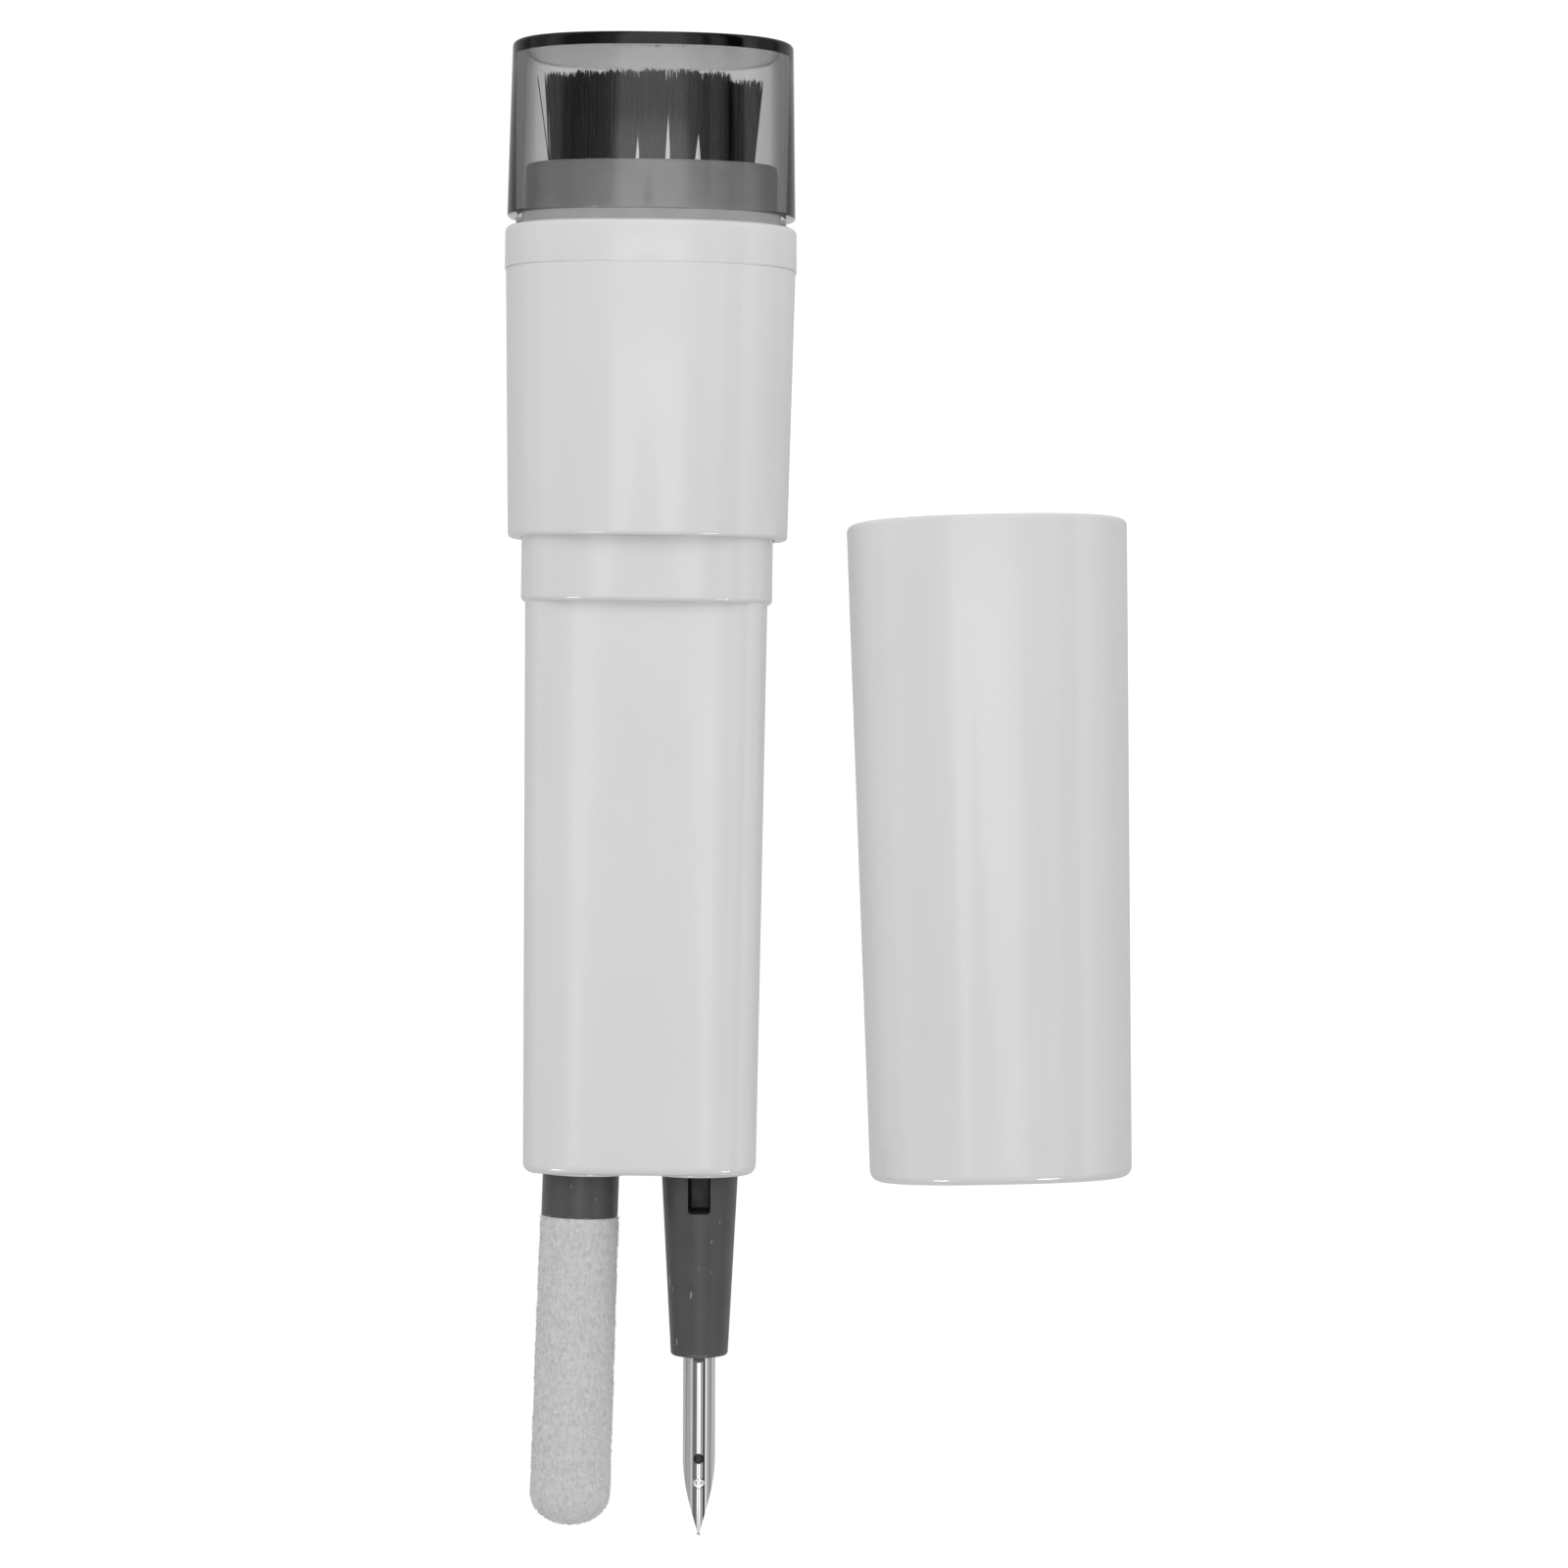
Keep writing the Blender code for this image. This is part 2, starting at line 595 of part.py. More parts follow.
def make_pen():
    """The pen with its two tools drawn out, and the cap beside it."""
    pen = add_axis("pen_axis", PEN_AXIS_X, 0, PEN_HALF_DEPTH)
    sponge_axis = add_axis("sponge_axis", PEN_AXIS_X + SPONGE_AXIS_X, BARREL_END, PEN_HALF_DEPTH, SPONGE_LEAN)
    nib_axis = add_axis("nib_axis", PEN_AXIS_X + NIB_AXIS_X, BARREL_END, PEN_HALF_DEPTH, NIB_LEAN)
    make_dust_cap(pen)
    make_brush_block(pen)
    make_tufts(pen)
    make_collar(pen)
    make_upper_shell(pen)
    make_seat_coupler(pen)
    make_lower_barrel(pen, sponge_axis, nib_axis)
    make_tool_guide(pen, sponge_axis, nib_axis)
    make_sponge_tool(sponge_axis)
    make_nib_tool(nib_axis)
    make_main_cap()


clear_scene()
make_collections()
make_materials()
make_pen()
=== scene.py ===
"""Looks of the three-tool lens cleaning pen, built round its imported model.

Every visible shell, tool and bristle is modelled here at full detail in the place of its CAD node.
"""

import json
import math

import bmesh
import bpy
import numpy as np
from mathutils import Matrix, Vector, noise


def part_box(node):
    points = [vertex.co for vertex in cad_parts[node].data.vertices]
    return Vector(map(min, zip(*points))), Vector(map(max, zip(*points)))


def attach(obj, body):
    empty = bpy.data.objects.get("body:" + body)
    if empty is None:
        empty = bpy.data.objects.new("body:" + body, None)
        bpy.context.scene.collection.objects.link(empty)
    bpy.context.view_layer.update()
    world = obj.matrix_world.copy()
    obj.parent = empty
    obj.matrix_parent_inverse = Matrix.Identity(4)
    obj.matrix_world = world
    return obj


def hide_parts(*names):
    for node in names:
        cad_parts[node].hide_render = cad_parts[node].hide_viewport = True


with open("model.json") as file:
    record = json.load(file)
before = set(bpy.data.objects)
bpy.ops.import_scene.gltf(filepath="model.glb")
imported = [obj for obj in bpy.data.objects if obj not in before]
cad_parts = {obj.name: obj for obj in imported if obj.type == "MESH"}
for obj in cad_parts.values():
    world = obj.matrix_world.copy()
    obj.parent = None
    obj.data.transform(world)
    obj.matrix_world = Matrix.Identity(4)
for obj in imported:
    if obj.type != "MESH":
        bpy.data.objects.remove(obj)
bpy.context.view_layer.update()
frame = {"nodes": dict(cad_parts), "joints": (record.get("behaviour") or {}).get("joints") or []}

MM = 0.001
OVAL_POWER = 2.5
AROUND = 192
ROUND = 96

# Camera: straight above, at the height that gives the picture its perspective.
IMAGE_WIDTH = 133.33 * MM
CAMERA_HEIGHT = 367 * MM
CAMERA_ROLL = math.radians(0.70)
CAMERA_OFFSET = (-2.83 * MM, 0.56 * MM)
SENSOR = 36.0

# Sizes that a node's box doesn't give.
PEN_HALF_DEPTH = 7.5 * MM
WALL = 1.1 * MM
SHELL_FOOT_HALF_WIDTH = 11.87 * MM
DUST_CAP_END_HALF_WIDTH = 11.95 * MM
DUST_CAP_WALL = 1.0 * MM
DUST_CAP_DEPTH_SHARE = 0.6
DUST_CAP_END_WALL = 1.0 * MM
BLOCK_HALF_WIDTH = 11.05 * MM
BLOCK_HALF_DEPTH = 6.2 * MM
SEAT_HALF_WIDTH = 10.65 * MM
SEAT_HALF_DEPTH = 6.25 * MM
SEAT_POWER = 3.5
BARREL_TOP_HALF_WIDTH = 10.25 * MM
BARREL_END_HALF_WIDTH = 9.85 * MM
BARREL_HALF_DEPTH = 5.25 * MM
BARREL_POWER = 5.0
BARREL_WALL = 1.0 * MM
CAP_END_HALF_WIDTH = 11.1 * MM
MOUTH_BOW = 0.55 * MM
MOUTH_BOW_LENGTH = 4 * MM
SEAM_GAP = 0.002 * MM
SOCKET_RADIUS = 3.6 * MM
SOCKET_LIP_RADIUS = 4.1 * MM
SOCKET_LIP_HEIGHT = 0.3 * MM

# Brush.
TUFT_COLUMNS = 7
TUFT_PITCH = 2.6 * MM
TUFT_HOLE_RADIUS = 1.05 * MM
TUFT_HOLE_DEPTH = 2.5 * MM
STRANDS_PER_TUFT = 170
STRAND_RADIUS = 0.052 * MM
# How far a tuft's strands stand from its middle, at their roots and, along X and Z, at their tips.
ROOT_SPREAD = 0.98 * MM
TIP_SPREAD = (1.4 * MM, 1.38 * MM)
# The slit between each column and the next starts to close at one height above the block and is shut
# at another, in mm.
SLITS = [(0, 0.3), (0.8, 2.0), (1.1, 5.4), (1.3, 9.5), (1.1, 5.6), (0, 0.3)]
# How far each column's tips are trimmed, and how far they lean to the right.
COLUMN_TRIM = [0.15 * MM, 0.2 * MM, 0.05 * MM, 0.0, 0.0, 0.2 * MM, 0.6 * MM]
COLUMN_LEAN = [0.05 * MM, 0.0, 0.0, 0.0, 0.0, 0.05 * MM, 0.15 * MM]

# Tools, in each tool's own frame: local Y is 0 at the barrel's end and negative outside it.
HOLDER_RADIUS = 3.25 * MM
HOLDER_INSIDE = 7.0 * MM
GROOVE_MIDDLE = 4.5 * MM
GROOVE_RADIUS = 2.5 * MM
GROOVE_HALF_WIDTH = 0.65 * MM
SPONGE_HOLDER_END = -3.95 * MM
SPONGE_RADIUS = 3.28 * MM
SPONGE_TIP = -30.12 * MM
SPONGE_TIP_LENGTH = 2.7 * MM
SPONGE_BORE = 1.5 * MM
NAP_FIBRES = 17000
NAP_LENGTH = 0.26 * MM
FRINGE = 0.35 * MM
FIBRE_RADIUS = 0.017 * MM
NIB_HOLDER_END = -15.6 * MM
NIB_HOLDER_END_RADIUS = 2.42 * MM
NIB_RADIUS = 1.375 * MM
NIB_SHEET = 0.2 * MM
NIB_ROOT = -9.6 * MM
NIB_TIP = -30.7 * MM
NIB_BEND_START = -28.3 * MM
NIB_BEND = 0.22 * MM
# The sheet's seam opens where the gouge starts, and its two edges close to a point from below it.
NIB_SEAM_HALF_TURN = math.radians(176)
NIB_GOUGE_HALF_TURN = math.radians(88)
NIB_GOUGE_START = -21.5 * MM
NIB_POINT_START = -24.2 * MM
BREATHER_Y = -24.3 * MM
BREATHER_RADIUS = 0.44 * MM
NOTCH_SIDE = 0.46 * MM
MARK_Y = -26.35 * MM
MARK_RADIUS = 0.38 * MM
MARK_HEIGHT = 0.022 * MM
MARK_WIDTH = 0.055 * MM
SLOT_WIDTH = 1.9 * MM
SLOT_TOP = 1.2 * MM
SLOT_END = -3.45 * MM
SLOT_FLOOR = -1.5 * MM


# -------------------- places from the frame


def node_vertices(name):
    """A CAD node's vertices as an array."""
    return np.array([v.co for v in frame["nodes"][name].data.vertices], float)


def end_middle(name, direction):
    """The middle of the CAD node's flat end that faces along direction."""
    points = node_vertices(name)
    along = points @ np.array(direction, float)
    end = points[along > along.max() - 0.02 * MM]
    return Vector((end.min(0) + end.max(0)) / 2)


def joint_axis(name):
    """The direction of a joint's axis."""
    return Vector(next(j["axis"] for j in frame["joints"] if j["name"] == name))


def axis_frame(origin, along):
    """The matrix of a frame with its Y axis along a horizontal direction."""
    turn = math.atan2(-along.x, along.y)
    return Matrix.Translation(origin) @ Matrix.Rotation(turn, 4, "Z")


def tool_frame(node, joint):
    """A tool's frame: on its holder's axis, with Y = 0 at the barrel's end face."""
    along = joint_axis(joint)
    top = end_middle(node, along)
    return axis_frame(top - along * HOLDER_INSIDE, along)


def pen_stations():
    """The pen's axis and the places along it where one piece ends and the next starts."""
    shell_low, shell_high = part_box("upper_shell")
    collar_low, collar_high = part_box("collar_ring")
    cap_low, cap_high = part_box("brush_dust_cap")
    barrel_low, barrel_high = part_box("lower_barrel")
    block_low, block_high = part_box("brush_block")
    return {
        "axis_x": (shell_low.x + shell_high.x) / 2,
        "shoulder": shell_low.y,
        "seam": (shell_high.y + collar_low.y) / 2,
        "collar_top": collar_high.y,
        "collar_half_width": (collar_high.x - collar_low.x) / 2,
        "shell_half_width": (shell_high.x - shell_low.x) / 2,
        "cap_rim": cap_low.y,
        "cap_end": cap_high.y,
        "cap_half_width": (cap_high.x - cap_low.x) / 2,
        "cap_half_depth": (cap_high.z - cap_low.z) / 2,
        "barrel_top": barrel_high.y,
        "barrel_end": barrel_low.y + SOCKET_LIP_HEIGHT,
        "block_top": block_high.y,
        "block_foot": block_low.y,
        "block_reach": (block_high.x - block_low.x) / 2,
    }


at = pen_stations()
pen = Matrix.Translation((at["axis_x"], 0, PEN_HALF_DEPTH))
sponge_frame = tool_frame("sponge_holder", "sponge_tool_slide")
nib_frame = tool_frame("nib_holder", "nib_tool_slide")
cap_down = joint_axis("main_cap_slide")
cap_mouth = end_middle("main_cap", -cap_down) + cap_down * MOUTH_BOW
cap_frame = axis_frame(cap_mouth, -cap_down)
CAP_LENGTH = (end_middle("main_cap", cap_down) - cap_mouth).length


# -------------------- shape helpers


def superellipse(half_width, half_depth, power):
    """An oval section as (x, z) points: the higher the power, the flatter its sides."""
    turn = 2 * np.pi * (np.arange(AROUND) + 0.5) / AROUND
    across, up = np.cos(turn), np.sin(turn)
    x = half_width * np.sign(across) * np.abs(across) ** (2 / power)
    z = half_depth * np.sign(up) * np.abs(up) ** (2 / power)
    return np.stack([x, z], axis=1)


def fillet(before, corner, after, radius, steps=6):
    """The points of a round corner between two straight stretches."""
    one = (before - corner).normalized()
    two = (after - corner).normalized()
    half = one.angle(two) / 2
    reach = min(radius / math.tan(half), 0.49 * (before - corner).length, 0.49 * (after - corner).length)
    centre = corner + (one + two).normalized() * (reach / math.cos(half))
    start, end = corner + one * reach - centre, corner + two * reach - centre
    sweep = math.pi - 2 * half
    turn = sweep if start.x * end.y - start.y * end.x > 0 else -sweep
    return [centre + Matrix.Rotation(turn * i / steps, 2) @ start for i in range(steps + 1)]


def filleted(corners, closed):
    """A profile of (inset or radius, y, corner radius) corners, with its corners rounded."""
    points = [Vector(c[:2]) for c in corners]
    made = []
    for i, corner in enumerate(points):
        inner = closed or 0 < i < len(points) - 1
        radius = corners[i][2] if len(corners[i]) > 2 else 0
        if inner and radius:
            made += fillet(points[i - 1], corner, points[(i + 1) % len(points)], radius)
        else:
            made.append(corner)
    return made


def add_object(name, data):
    """Puts a mesh, a lamp or a camera into the scene."""
    item = bpy.data.objects.new(name, data)
    bpy.context.scene.collection.objects.link(item)
    return item


def object_from_bmesh(name, bm, place):
    """An object from an edited mesh in the frame called place."""
    mesh = bpy.data.meshes.new(name)
    bm.to_mesh(mesh)
    bm.free()
    mesh.transform(place)
    return add_object(name, mesh)


def mesh_object(name, vertices, faces, place, sharp=40):
    """A smooth-shaded object from points in the frame called place."""
    mesh = bpy.data.meshes.new(name)
    mesh.from_pydata([tuple(v) for v in vertices], [], faces)
    mesh.transform(place)
    item = add_object(name, mesh)
    tidy_normals(item)
    mesh.shade_smooth()
    mesh.set_sharp_from_angle(angle=math.radians(sharp))
    return item


def tidy_normals(item):
    """Turns every face of a closed mesh outwards."""
    bm = bmesh.new()
    bm.from_mesh(item.data)
    bmesh.ops.recalc_face_normals(bm, faces=bm.faces)
    bm.to_mesh(item.data)
    bm.free()


def oval_shell(
    name, corners, taper, half_depth, place, power=OVAL_POWER, closed=True, crown=None, depth_share=1.0
):
    """A shell whose wall profile runs round the pen's section.

    corners are (inset, y, corner radius); taper gives the half width at two places along Y. A closed
    profile is a sleeve, and an open one is a cup whose two ends are filled. crown moves a point along
    Y by where it is round the section. depth_share is the wall's thickness at the front and back,
    as a share of its thickness at the sides.
    """
    (y_one, width_one), (y_two, width_two) = taper
    slope = (width_two - width_one) / (y_two - y_one)
    vertices = []
    profile = filleted(corners, closed)
    for inset, y in profile:
        half_width = width_one + slope * (y - y_one) - inset
        for x, z in superellipse(half_width, half_depth - inset * depth_share, power):
            lift = crown(y, z / half_depth) if crown else 0
            vertices.append((x, y + lift, z))
    rows = len(profile)
    last = rows if closed else rows - 1
    faces = []
    for row in range(last):
        a, b = row * AROUND, (row + 1) % rows * AROUND
        for k in range(AROUND):
            n = (k + 1) % AROUND
            faces.append((a + k, a + n, b + n, b + k))
    if not closed:
        faces.append(tuple(range(AROUND)))
        faces.append(tuple(range((rows - 1) * AROUND, rows * AROUND)))
    return mesh_object(name, vertices, faces, place)


def skin(rings):
    """The faces between rings of vertex numbers; one number all round a ring makes it a pole."""
    faces = []
    around = len(rings[0])
    for near, far in zip(rings, rings[1:]):
        for k in range(around):
            n = (k + 1) % around
            corners = list(dict.fromkeys((near[k], near[n], far[n], far[k])))
            if len(corners) > 2:
                faces.append(tuple(corners))
    return faces


def turned(name, corners, place, around=ROUND):
    """A body turned about the Y axis of place, from (radius, y, corner radius) corners."""
    vertices, rings = [], []
    for radius, y in filleted(corners, closed=False):
        if radius < 1e-7:
            rings.append([len(vertices)] * around)
            vertices.append((0, y, 0))
            continue
        rings.append(list(range(len(vertices), len(vertices) + around)))
        for k in range(around):
            turn = 2 * math.pi * k / around
            vertices.append((radius * math.cos(turn), y, radius * math.sin(turn)))
    return mesh_object(name, vertices, skin(rings), place)


def boolean(item, tools, operation="DIFFERENCE"):
    """Cuts or joins several tool meshes, which are removed, and applies the result."""
    for tool in tools:
        step = item.modifiers.new("step", "BOOLEAN")
        step.operation = operation
        step.solver = "EXACT"
        step.object = tool
    graph = bpy.context.evaluated_depsgraph_get()
    made = bpy.data.meshes.new_from_object(item.evaluated_get(graph), depsgraph=graph)
    item.modifiers.clear()
    item.data = made
    for tool in tools:
        bpy.data.objects.remove(tool)
    made.shade_smooth()
    made.set_sharp_from_angle(angle=math.radians(40))


def cutter_rod(radius, low, high, place, x=0.0, z=0.0, around=64):
    """A cylinder along the Y axis of place."""
    offset = place @ Matrix.Translation((x, 0, z))
    return turned("cutter", [(0, high), (radius, high), (radius, low), (0, low)], offset, around)


def cutter_box(size, centre, place, round_edges=0.0):
    """A box, with its edges rounded if asked."""
    bm = bmesh.new()
    bmesh.ops.create_cube(bm, size=1)
    bmesh.ops.scale(bm, vec=size, verts=bm.verts)
    if round_edges:
        bmesh.ops.bevel(bm, geom=bm.edges, offset=round_edges, segments=5, profile=0.5, affect="EDGES")
    bmesh.ops.translate(bm, vec=centre, verts=bm.verts)
    return object_from_bmesh("cutter", bm, place)


def ellipsoid(name, radii, place):
    """A fine ball scaled to three radii."""
    bm = bmesh.new()
    bmesh.ops.create_uvsphere(bm, u_segments=32, v_segments=16, radius=1.0)
    bmesh.ops.scale(bm, vec=radii, verts=bm.verts)
    item = object_from_bmesh(name, bm, place)
    item.data.shade_smooth()
    return item


def place_piece(item, body, slot, *nodes):
    """Gives a piece its body and its slot's look, and puts it in the place of its CAD nodes."""
    item.data.materials.clear()
    item.data.materials.append(looks[slot])
    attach(item, body)
    if nodes:
        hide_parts(*nodes)


# -------------------- materials


def new_material(name):
    """A material with its Principled shader, its nodes and a function that links sockets."""
    material = bpy.data.materials.new(name)
    material.use_nodes = True
    nodes = material.node_tree.nodes
    return material, nodes["Principled BSDF"], nodes, material.node_tree.links.new


def add_noise(nodes, link, scale, detail=3.0, stretch=None):
    """A noise texture in the object's own space, in metres."""
    where = nodes.new("ShaderNodeTexCoord")
    made = nodes.new("ShaderNodeTexNoise")
    made.inputs["Scale"].default_value = scale
    made.inputs["Detail"].default_value = detail
    if stretch:
        mapping = nodes.new("ShaderNodeMapping")
        mapping.inputs["Scale"].default_value = stretch
        link(where.outputs["Object"], mapping.inputs["Vector"])
        link(mapping.outputs["Vector"], made.inputs["Vector"])
    else:
        link(where.outputs["Object"], made.inputs["Vector"])
    return made


def add_math(nodes, link, operation, first, second):
    """One sum on two values, each a socket or a number."""
    made = nodes.new("ShaderNodeMath")
    made.operation = operation
    for socket, value in zip(made.inputs, (first, second)):
        if isinstance(value, (int, float)):
            socket.default_value = value
        else:
            link(value, socket)
    return made.outputs[0]


def add_mix(nodes, link, factor, first, second):
    """A mix of two colours, each a socket or a grey."""
    made = nodes.new("ShaderNodeMix")
    made.data_type = "RGBA"
    link(factor, made.inputs["Factor"])
    for socket, value in ((made.inputs["A"], first), (made.inputs["B"], second)):
        if isinstance(value, (int, float)):
            socket.default_value = (value, value, value, 1.0)
        else:
            link(value, socket)
    return made.outputs["Result"]


def add_ramp(nodes, link, source, stops):
    """A colour ramp over a value, from (position, colour or grey) stops."""
    ramp = nodes.new("ShaderNodeValToRGB")
    while len(ramp.color_ramp.elements) > 1:
        ramp.color_ramp.elements.remove(ramp.color_ramp.elements[-1])
    for i, (position, colour) in enumerate(stops):
        stop = ramp.color_ramp.elements[0] if i == 0 else ramp.color_ramp.elements.new(position)
        stop.position = position
        grey = (colour, colour, colour) if isinstance(colour, (int, float)) else colour
        stop.color = (*grey, 1.0)
    link(source, ramp.inputs["Fac"])
    return ramp


def add_range(nodes, link, source, low, high, to_low, to_high):
    """Maps a value from one range to another."""
    made = nodes.new("ShaderNodeMapRange")
    made.inputs["From Min"].default_value = low
    made.inputs["From Max"].default_value = high
    made.inputs["To Min"].default_value = to_low
    made.inputs["To Max"].default_value = to_high
    link(source, made.inputs["Value"])
    return made.outputs["Result"]


def add_bump(nodes, link, shader, height, distance, strength):
    """A bump from a height."""
    bump = nodes.new("ShaderNodeBump")
    bump.inputs["Strength"].default_value = strength
    bump.inputs["Distance"].default_value = distance
    link(height, bump.inputs["Height"])
    link(bump.outputs["Normal"], shader.inputs["Normal"])


def add_specks(nodes, link, scale, size):
    """A mask that is 1 in sparse small round specks."""
    where = nodes.new("ShaderNodeTexCoord")
    cells = nodes.new("ShaderNodeTexVoronoi")
    cells.inputs["Scale"].default_value = scale
    cells.inputs["Randomness"].default_value = 1.0
    link(where.outputs["Object"], cells.inputs["Vector"])
    return add_range(nodes, link, cells.outputs["Distance"], size, size * 0.6, 0.0, 1.0)


def glossy_plastic(name, grey, roughness, speck_grey):
    """Moulded glossy plastic: faint flow mottling, an orange-peel surface and a few specks of dust."""
    material, shader, nodes, link = new_material(name)
    shader.inputs["IOR"].default_value = 1.49
    flow = add_noise(nodes, link, 160, 2.0, stretch=(1.0, 0.35, 1.0))
    colour = add_ramp(nodes, link, flow.outputs["Fac"], [(0.3, grey * 0.985), (0.7, grey * 1.012)])
    specks = add_specks(nodes, link, 230, 0.016)
    link(add_mix(nodes, link, specks, colour.outputs["Color"], speck_grey), shader.inputs["Base Color"])
    wear = add_noise(nodes, link, 420, 4.0)
    rough = add_range(nodes, link, wear.outputs["Fac"], 0.3, 0.7, roughness * 0.85, roughness * 1.2)
    link(rough, shader.inputs["Roughness"])
    peel = add_noise(nodes, link, 900, 1.0)
    add_bump(nodes, link, shader, peel.outputs["Fac"], 0.004 * MM, 0.35)
    return material


def satin_plastic(name, grey, roughness, lint_grey):
    """Satin plastic with a fine spark-eroded grain and specks of lint."""
    material, shader, nodes, link = new_material(name)
    shader.inputs["IOR"].default_value = 1.49
    cloud = add_noise(nodes, link, 300, 3.0)
    tone = add_ramp(nodes, link, cloud.outputs["Fac"], [(0.3, grey * 0.92), (0.7, grey * 1.08)])
    lint = add_noise(nodes, link, 2600, 1.0, stretch=(1.0, 0.28, 1.0))
    lint_mask = add_range(nodes, link, lint.outputs["Fac"], 0.722, 0.765, 0.0, 0.6)
    link(add_mix(nodes, link, lint_mask, tone.outputs["Color"], lint_grey), shader.inputs["Base Color"])
    wear = add_noise(nodes, link, 700, 4.0)
    rough = add_range(nodes, link, wear.outputs["Fac"], 0.3, 0.7, roughness * 0.85, roughness * 1.15)
    link(rough, shader.inputs["Roughness"])
    grain = add_noise(nodes, link, 5200, 2.0)
    add_bump(nodes, link, shader, grain.outputs["Fac"], 0.012 * MM, 0.5)
    return material


def smoke_plastic():
    """Smoke-tinted clear plastic: the tint is in its depth, so edges and the end wall look darkest."""
    material, shader, nodes, link = new_material("smoke_clear_plastic")
    shader.inputs["Base Color"].default_value = (1.0, 1.0, 1.0, 1.0)
    shader.inputs["Transmission Weight"].default_value = 1.0
    shader.inputs["IOR"].default_value = 1.49
    wear = add_noise(nodes, link, 500, 4.0)
    rough = add_range(nodes, link, wear.outputs["Fac"], 0.4, 0.7, 0.015, 0.05)
    link(rough, shader.inputs["Roughness"])
    ripple = add_noise(nodes, link, 120, 1.0, stretch=(1.0, 0.5, 1.0))
    add_bump(nodes, link, shader, ripple.outputs["Fac"], 0.01 * MM, 0.25)
    tint = nodes.new("ShaderNodeVolumeAbsorption")
    tint.inputs["Color"].default_value = (0.0, 0.0, 0.0, 1.0)
    tint.inputs["Density"].default_value = 525.0
    link(tint.outputs["Volume"], nodes["Material Output"].inputs["Volume"])
    return material


def bristle_nylon():
    """Black nylon filament, a little lighter where it has been bent."""
    material, shader, nodes, link = new_material("black_bristle")
    shade = add_noise(nodes, link, 2600, 2.0, stretch=(1.0, 0.12, 1.0))
    tone = add_ramp(nodes, link, shade.outputs["Fac"], [(0.3, 0.012), (0.75, 0.05)])
    link(tone.outputs["Color"], shader.inputs["Base Color"])
    rough = add_range(nodes, link, shade.outputs["Fac"], 0.3, 0.7, 0.38, 0.55)
    link(rough, shader.inputs["Roughness"])
    return material


def flock():
    """Short flocked nap: matt, with painted shade and sheen: a soft mottling in its colour for how fibres
    that lean different ways catch the light.
    """
    material, shader, nodes, link = new_material("grey_flock")
    shader.inputs["Roughness"].default_value = 1.0
    shader.inputs["Sheen Weight"].default_value = 0.35
    shader.inputs["Sheen Roughness"].default_value = 0.5
    # Painted shade and sheen: the colour mottles lighter and darker the way leaning fibres look under
    # light.
    painted_nap_shading = add_noise(nodes, link, 3600, 5.0, stretch=(1.0, 0.5, 1.0))
    tone = add_ramp(nodes, link, painted_nap_shading.outputs["Fac"], [(0.30, 0.60), (0.5, 0.70), (0.68, 0.75)])
    link(tone.outputs["Color"], shader.inputs["Base Color"])
    fuzz = add_noise(nodes, link, 6500, 3.0)
    add_bump(nodes, link, shader, fuzz.outputs["Fac"], 0.08 * MM, 0.8)
    return material


def polished_steel():
    """Bright polished sheet metal with fine lengthwise polishing lines."""
    material, shader, nodes, link = new_material("polished_steel")
    shader.inputs["Metallic"].default_value = 1.0
    lines = add_noise(nodes, link, 5200, 3.0, stretch=(1.0, 0.02, 1.0))
    tone = add_ramp(nodes, link, lines.outputs["Fac"], [(0.3, 0.70), (0.7, 0.80)])
    link(tone.outputs["Color"], shader.inputs["Base Color"])
    rough = add_range(nodes, link, lines.outputs["Fac"], 0.3, 0.7, 0.03, 0.08)
    link(rough, shader.inputs["Roughness"])
    add_bump(nodes, link, shader, lines.outputs["Fac"], 0.002 * MM, 0.3)
    return material


def rubber():
    """Matt black rubber."""
    material, shader, nodes, link = new_material("black_rubber")
    grain = add_noise(nodes, link, 3000, 3.0)
    tone = add_ramp(nodes, link, grain.outputs["Fac"], [(0.3, 0.02), (0.7, 0.04)])
    link(tone.outputs["Color"], shader.inputs["Base Color"])
    rough = add_range(nodes, link, grain.outputs["Fac"], 0.3, 0.7, 0.6, 0.8)
    link(rough, shader.inputs["Roughness"])
    add_bump(nodes, link, shader, grain.outputs["Fac"], 0.02 * MM, 0.4)
    return material


looks = {
    "white_plastic": glossy_plastic("white_plastic", 0.79, 0.11, 0.5),
    "smoke_clear_plastic": smoke_plastic(),
    "light_grey_plastic": satin_plastic("light_grey_plastic", 0.70, 0.40, 0.74),
    "dark_grey_plastic": satin_plastic("dark_grey_plastic", 0.082, 0.38, 0.45),
    "black_bristle": bristle_nylon(),
    "grey_flock": flock(),
    "polished_steel": polished_steel(),
    "black_rubber": rubber(),
}


# -------------------- shells


def make_dust_cap():
    """The tinted clear cap: flat-ended, with a slightly hollow rim."""
    end, rim = at["cap_end"], at["cap_rim"]
    wall = DUST_CAP_WALL
    corners = [
        (1.6 * MM, end),
        (0.8 * MM, end),
        (0, end, 0.45 * MM),
        (0, rim, 0.15 * MM),
        (wall, rim, 0.1 * MM),
        (wall, end - DUST_CAP_END_WALL, 0.12 * MM),
        (wall + 1.2 * MM, end - DUST_CAP_END_WALL),
        (wall + 1.8 * MM, end - DUST_CAP_END_WALL),
    ]
    taper = ((end, DUST_CAP_END_HALF_WIDTH), (rim, at["cap_half_width"]))
    depth, share = at["cap_half_depth"], DUST_CAP_DEPTH_SHARE
    cap = oval_shell("dust_cap_shell", corners, taper, depth, pen, closed=False, depth_share=share)
    place_piece(cap, "dust_cap", "smoke_clear_plastic", "brush_dust_cap")


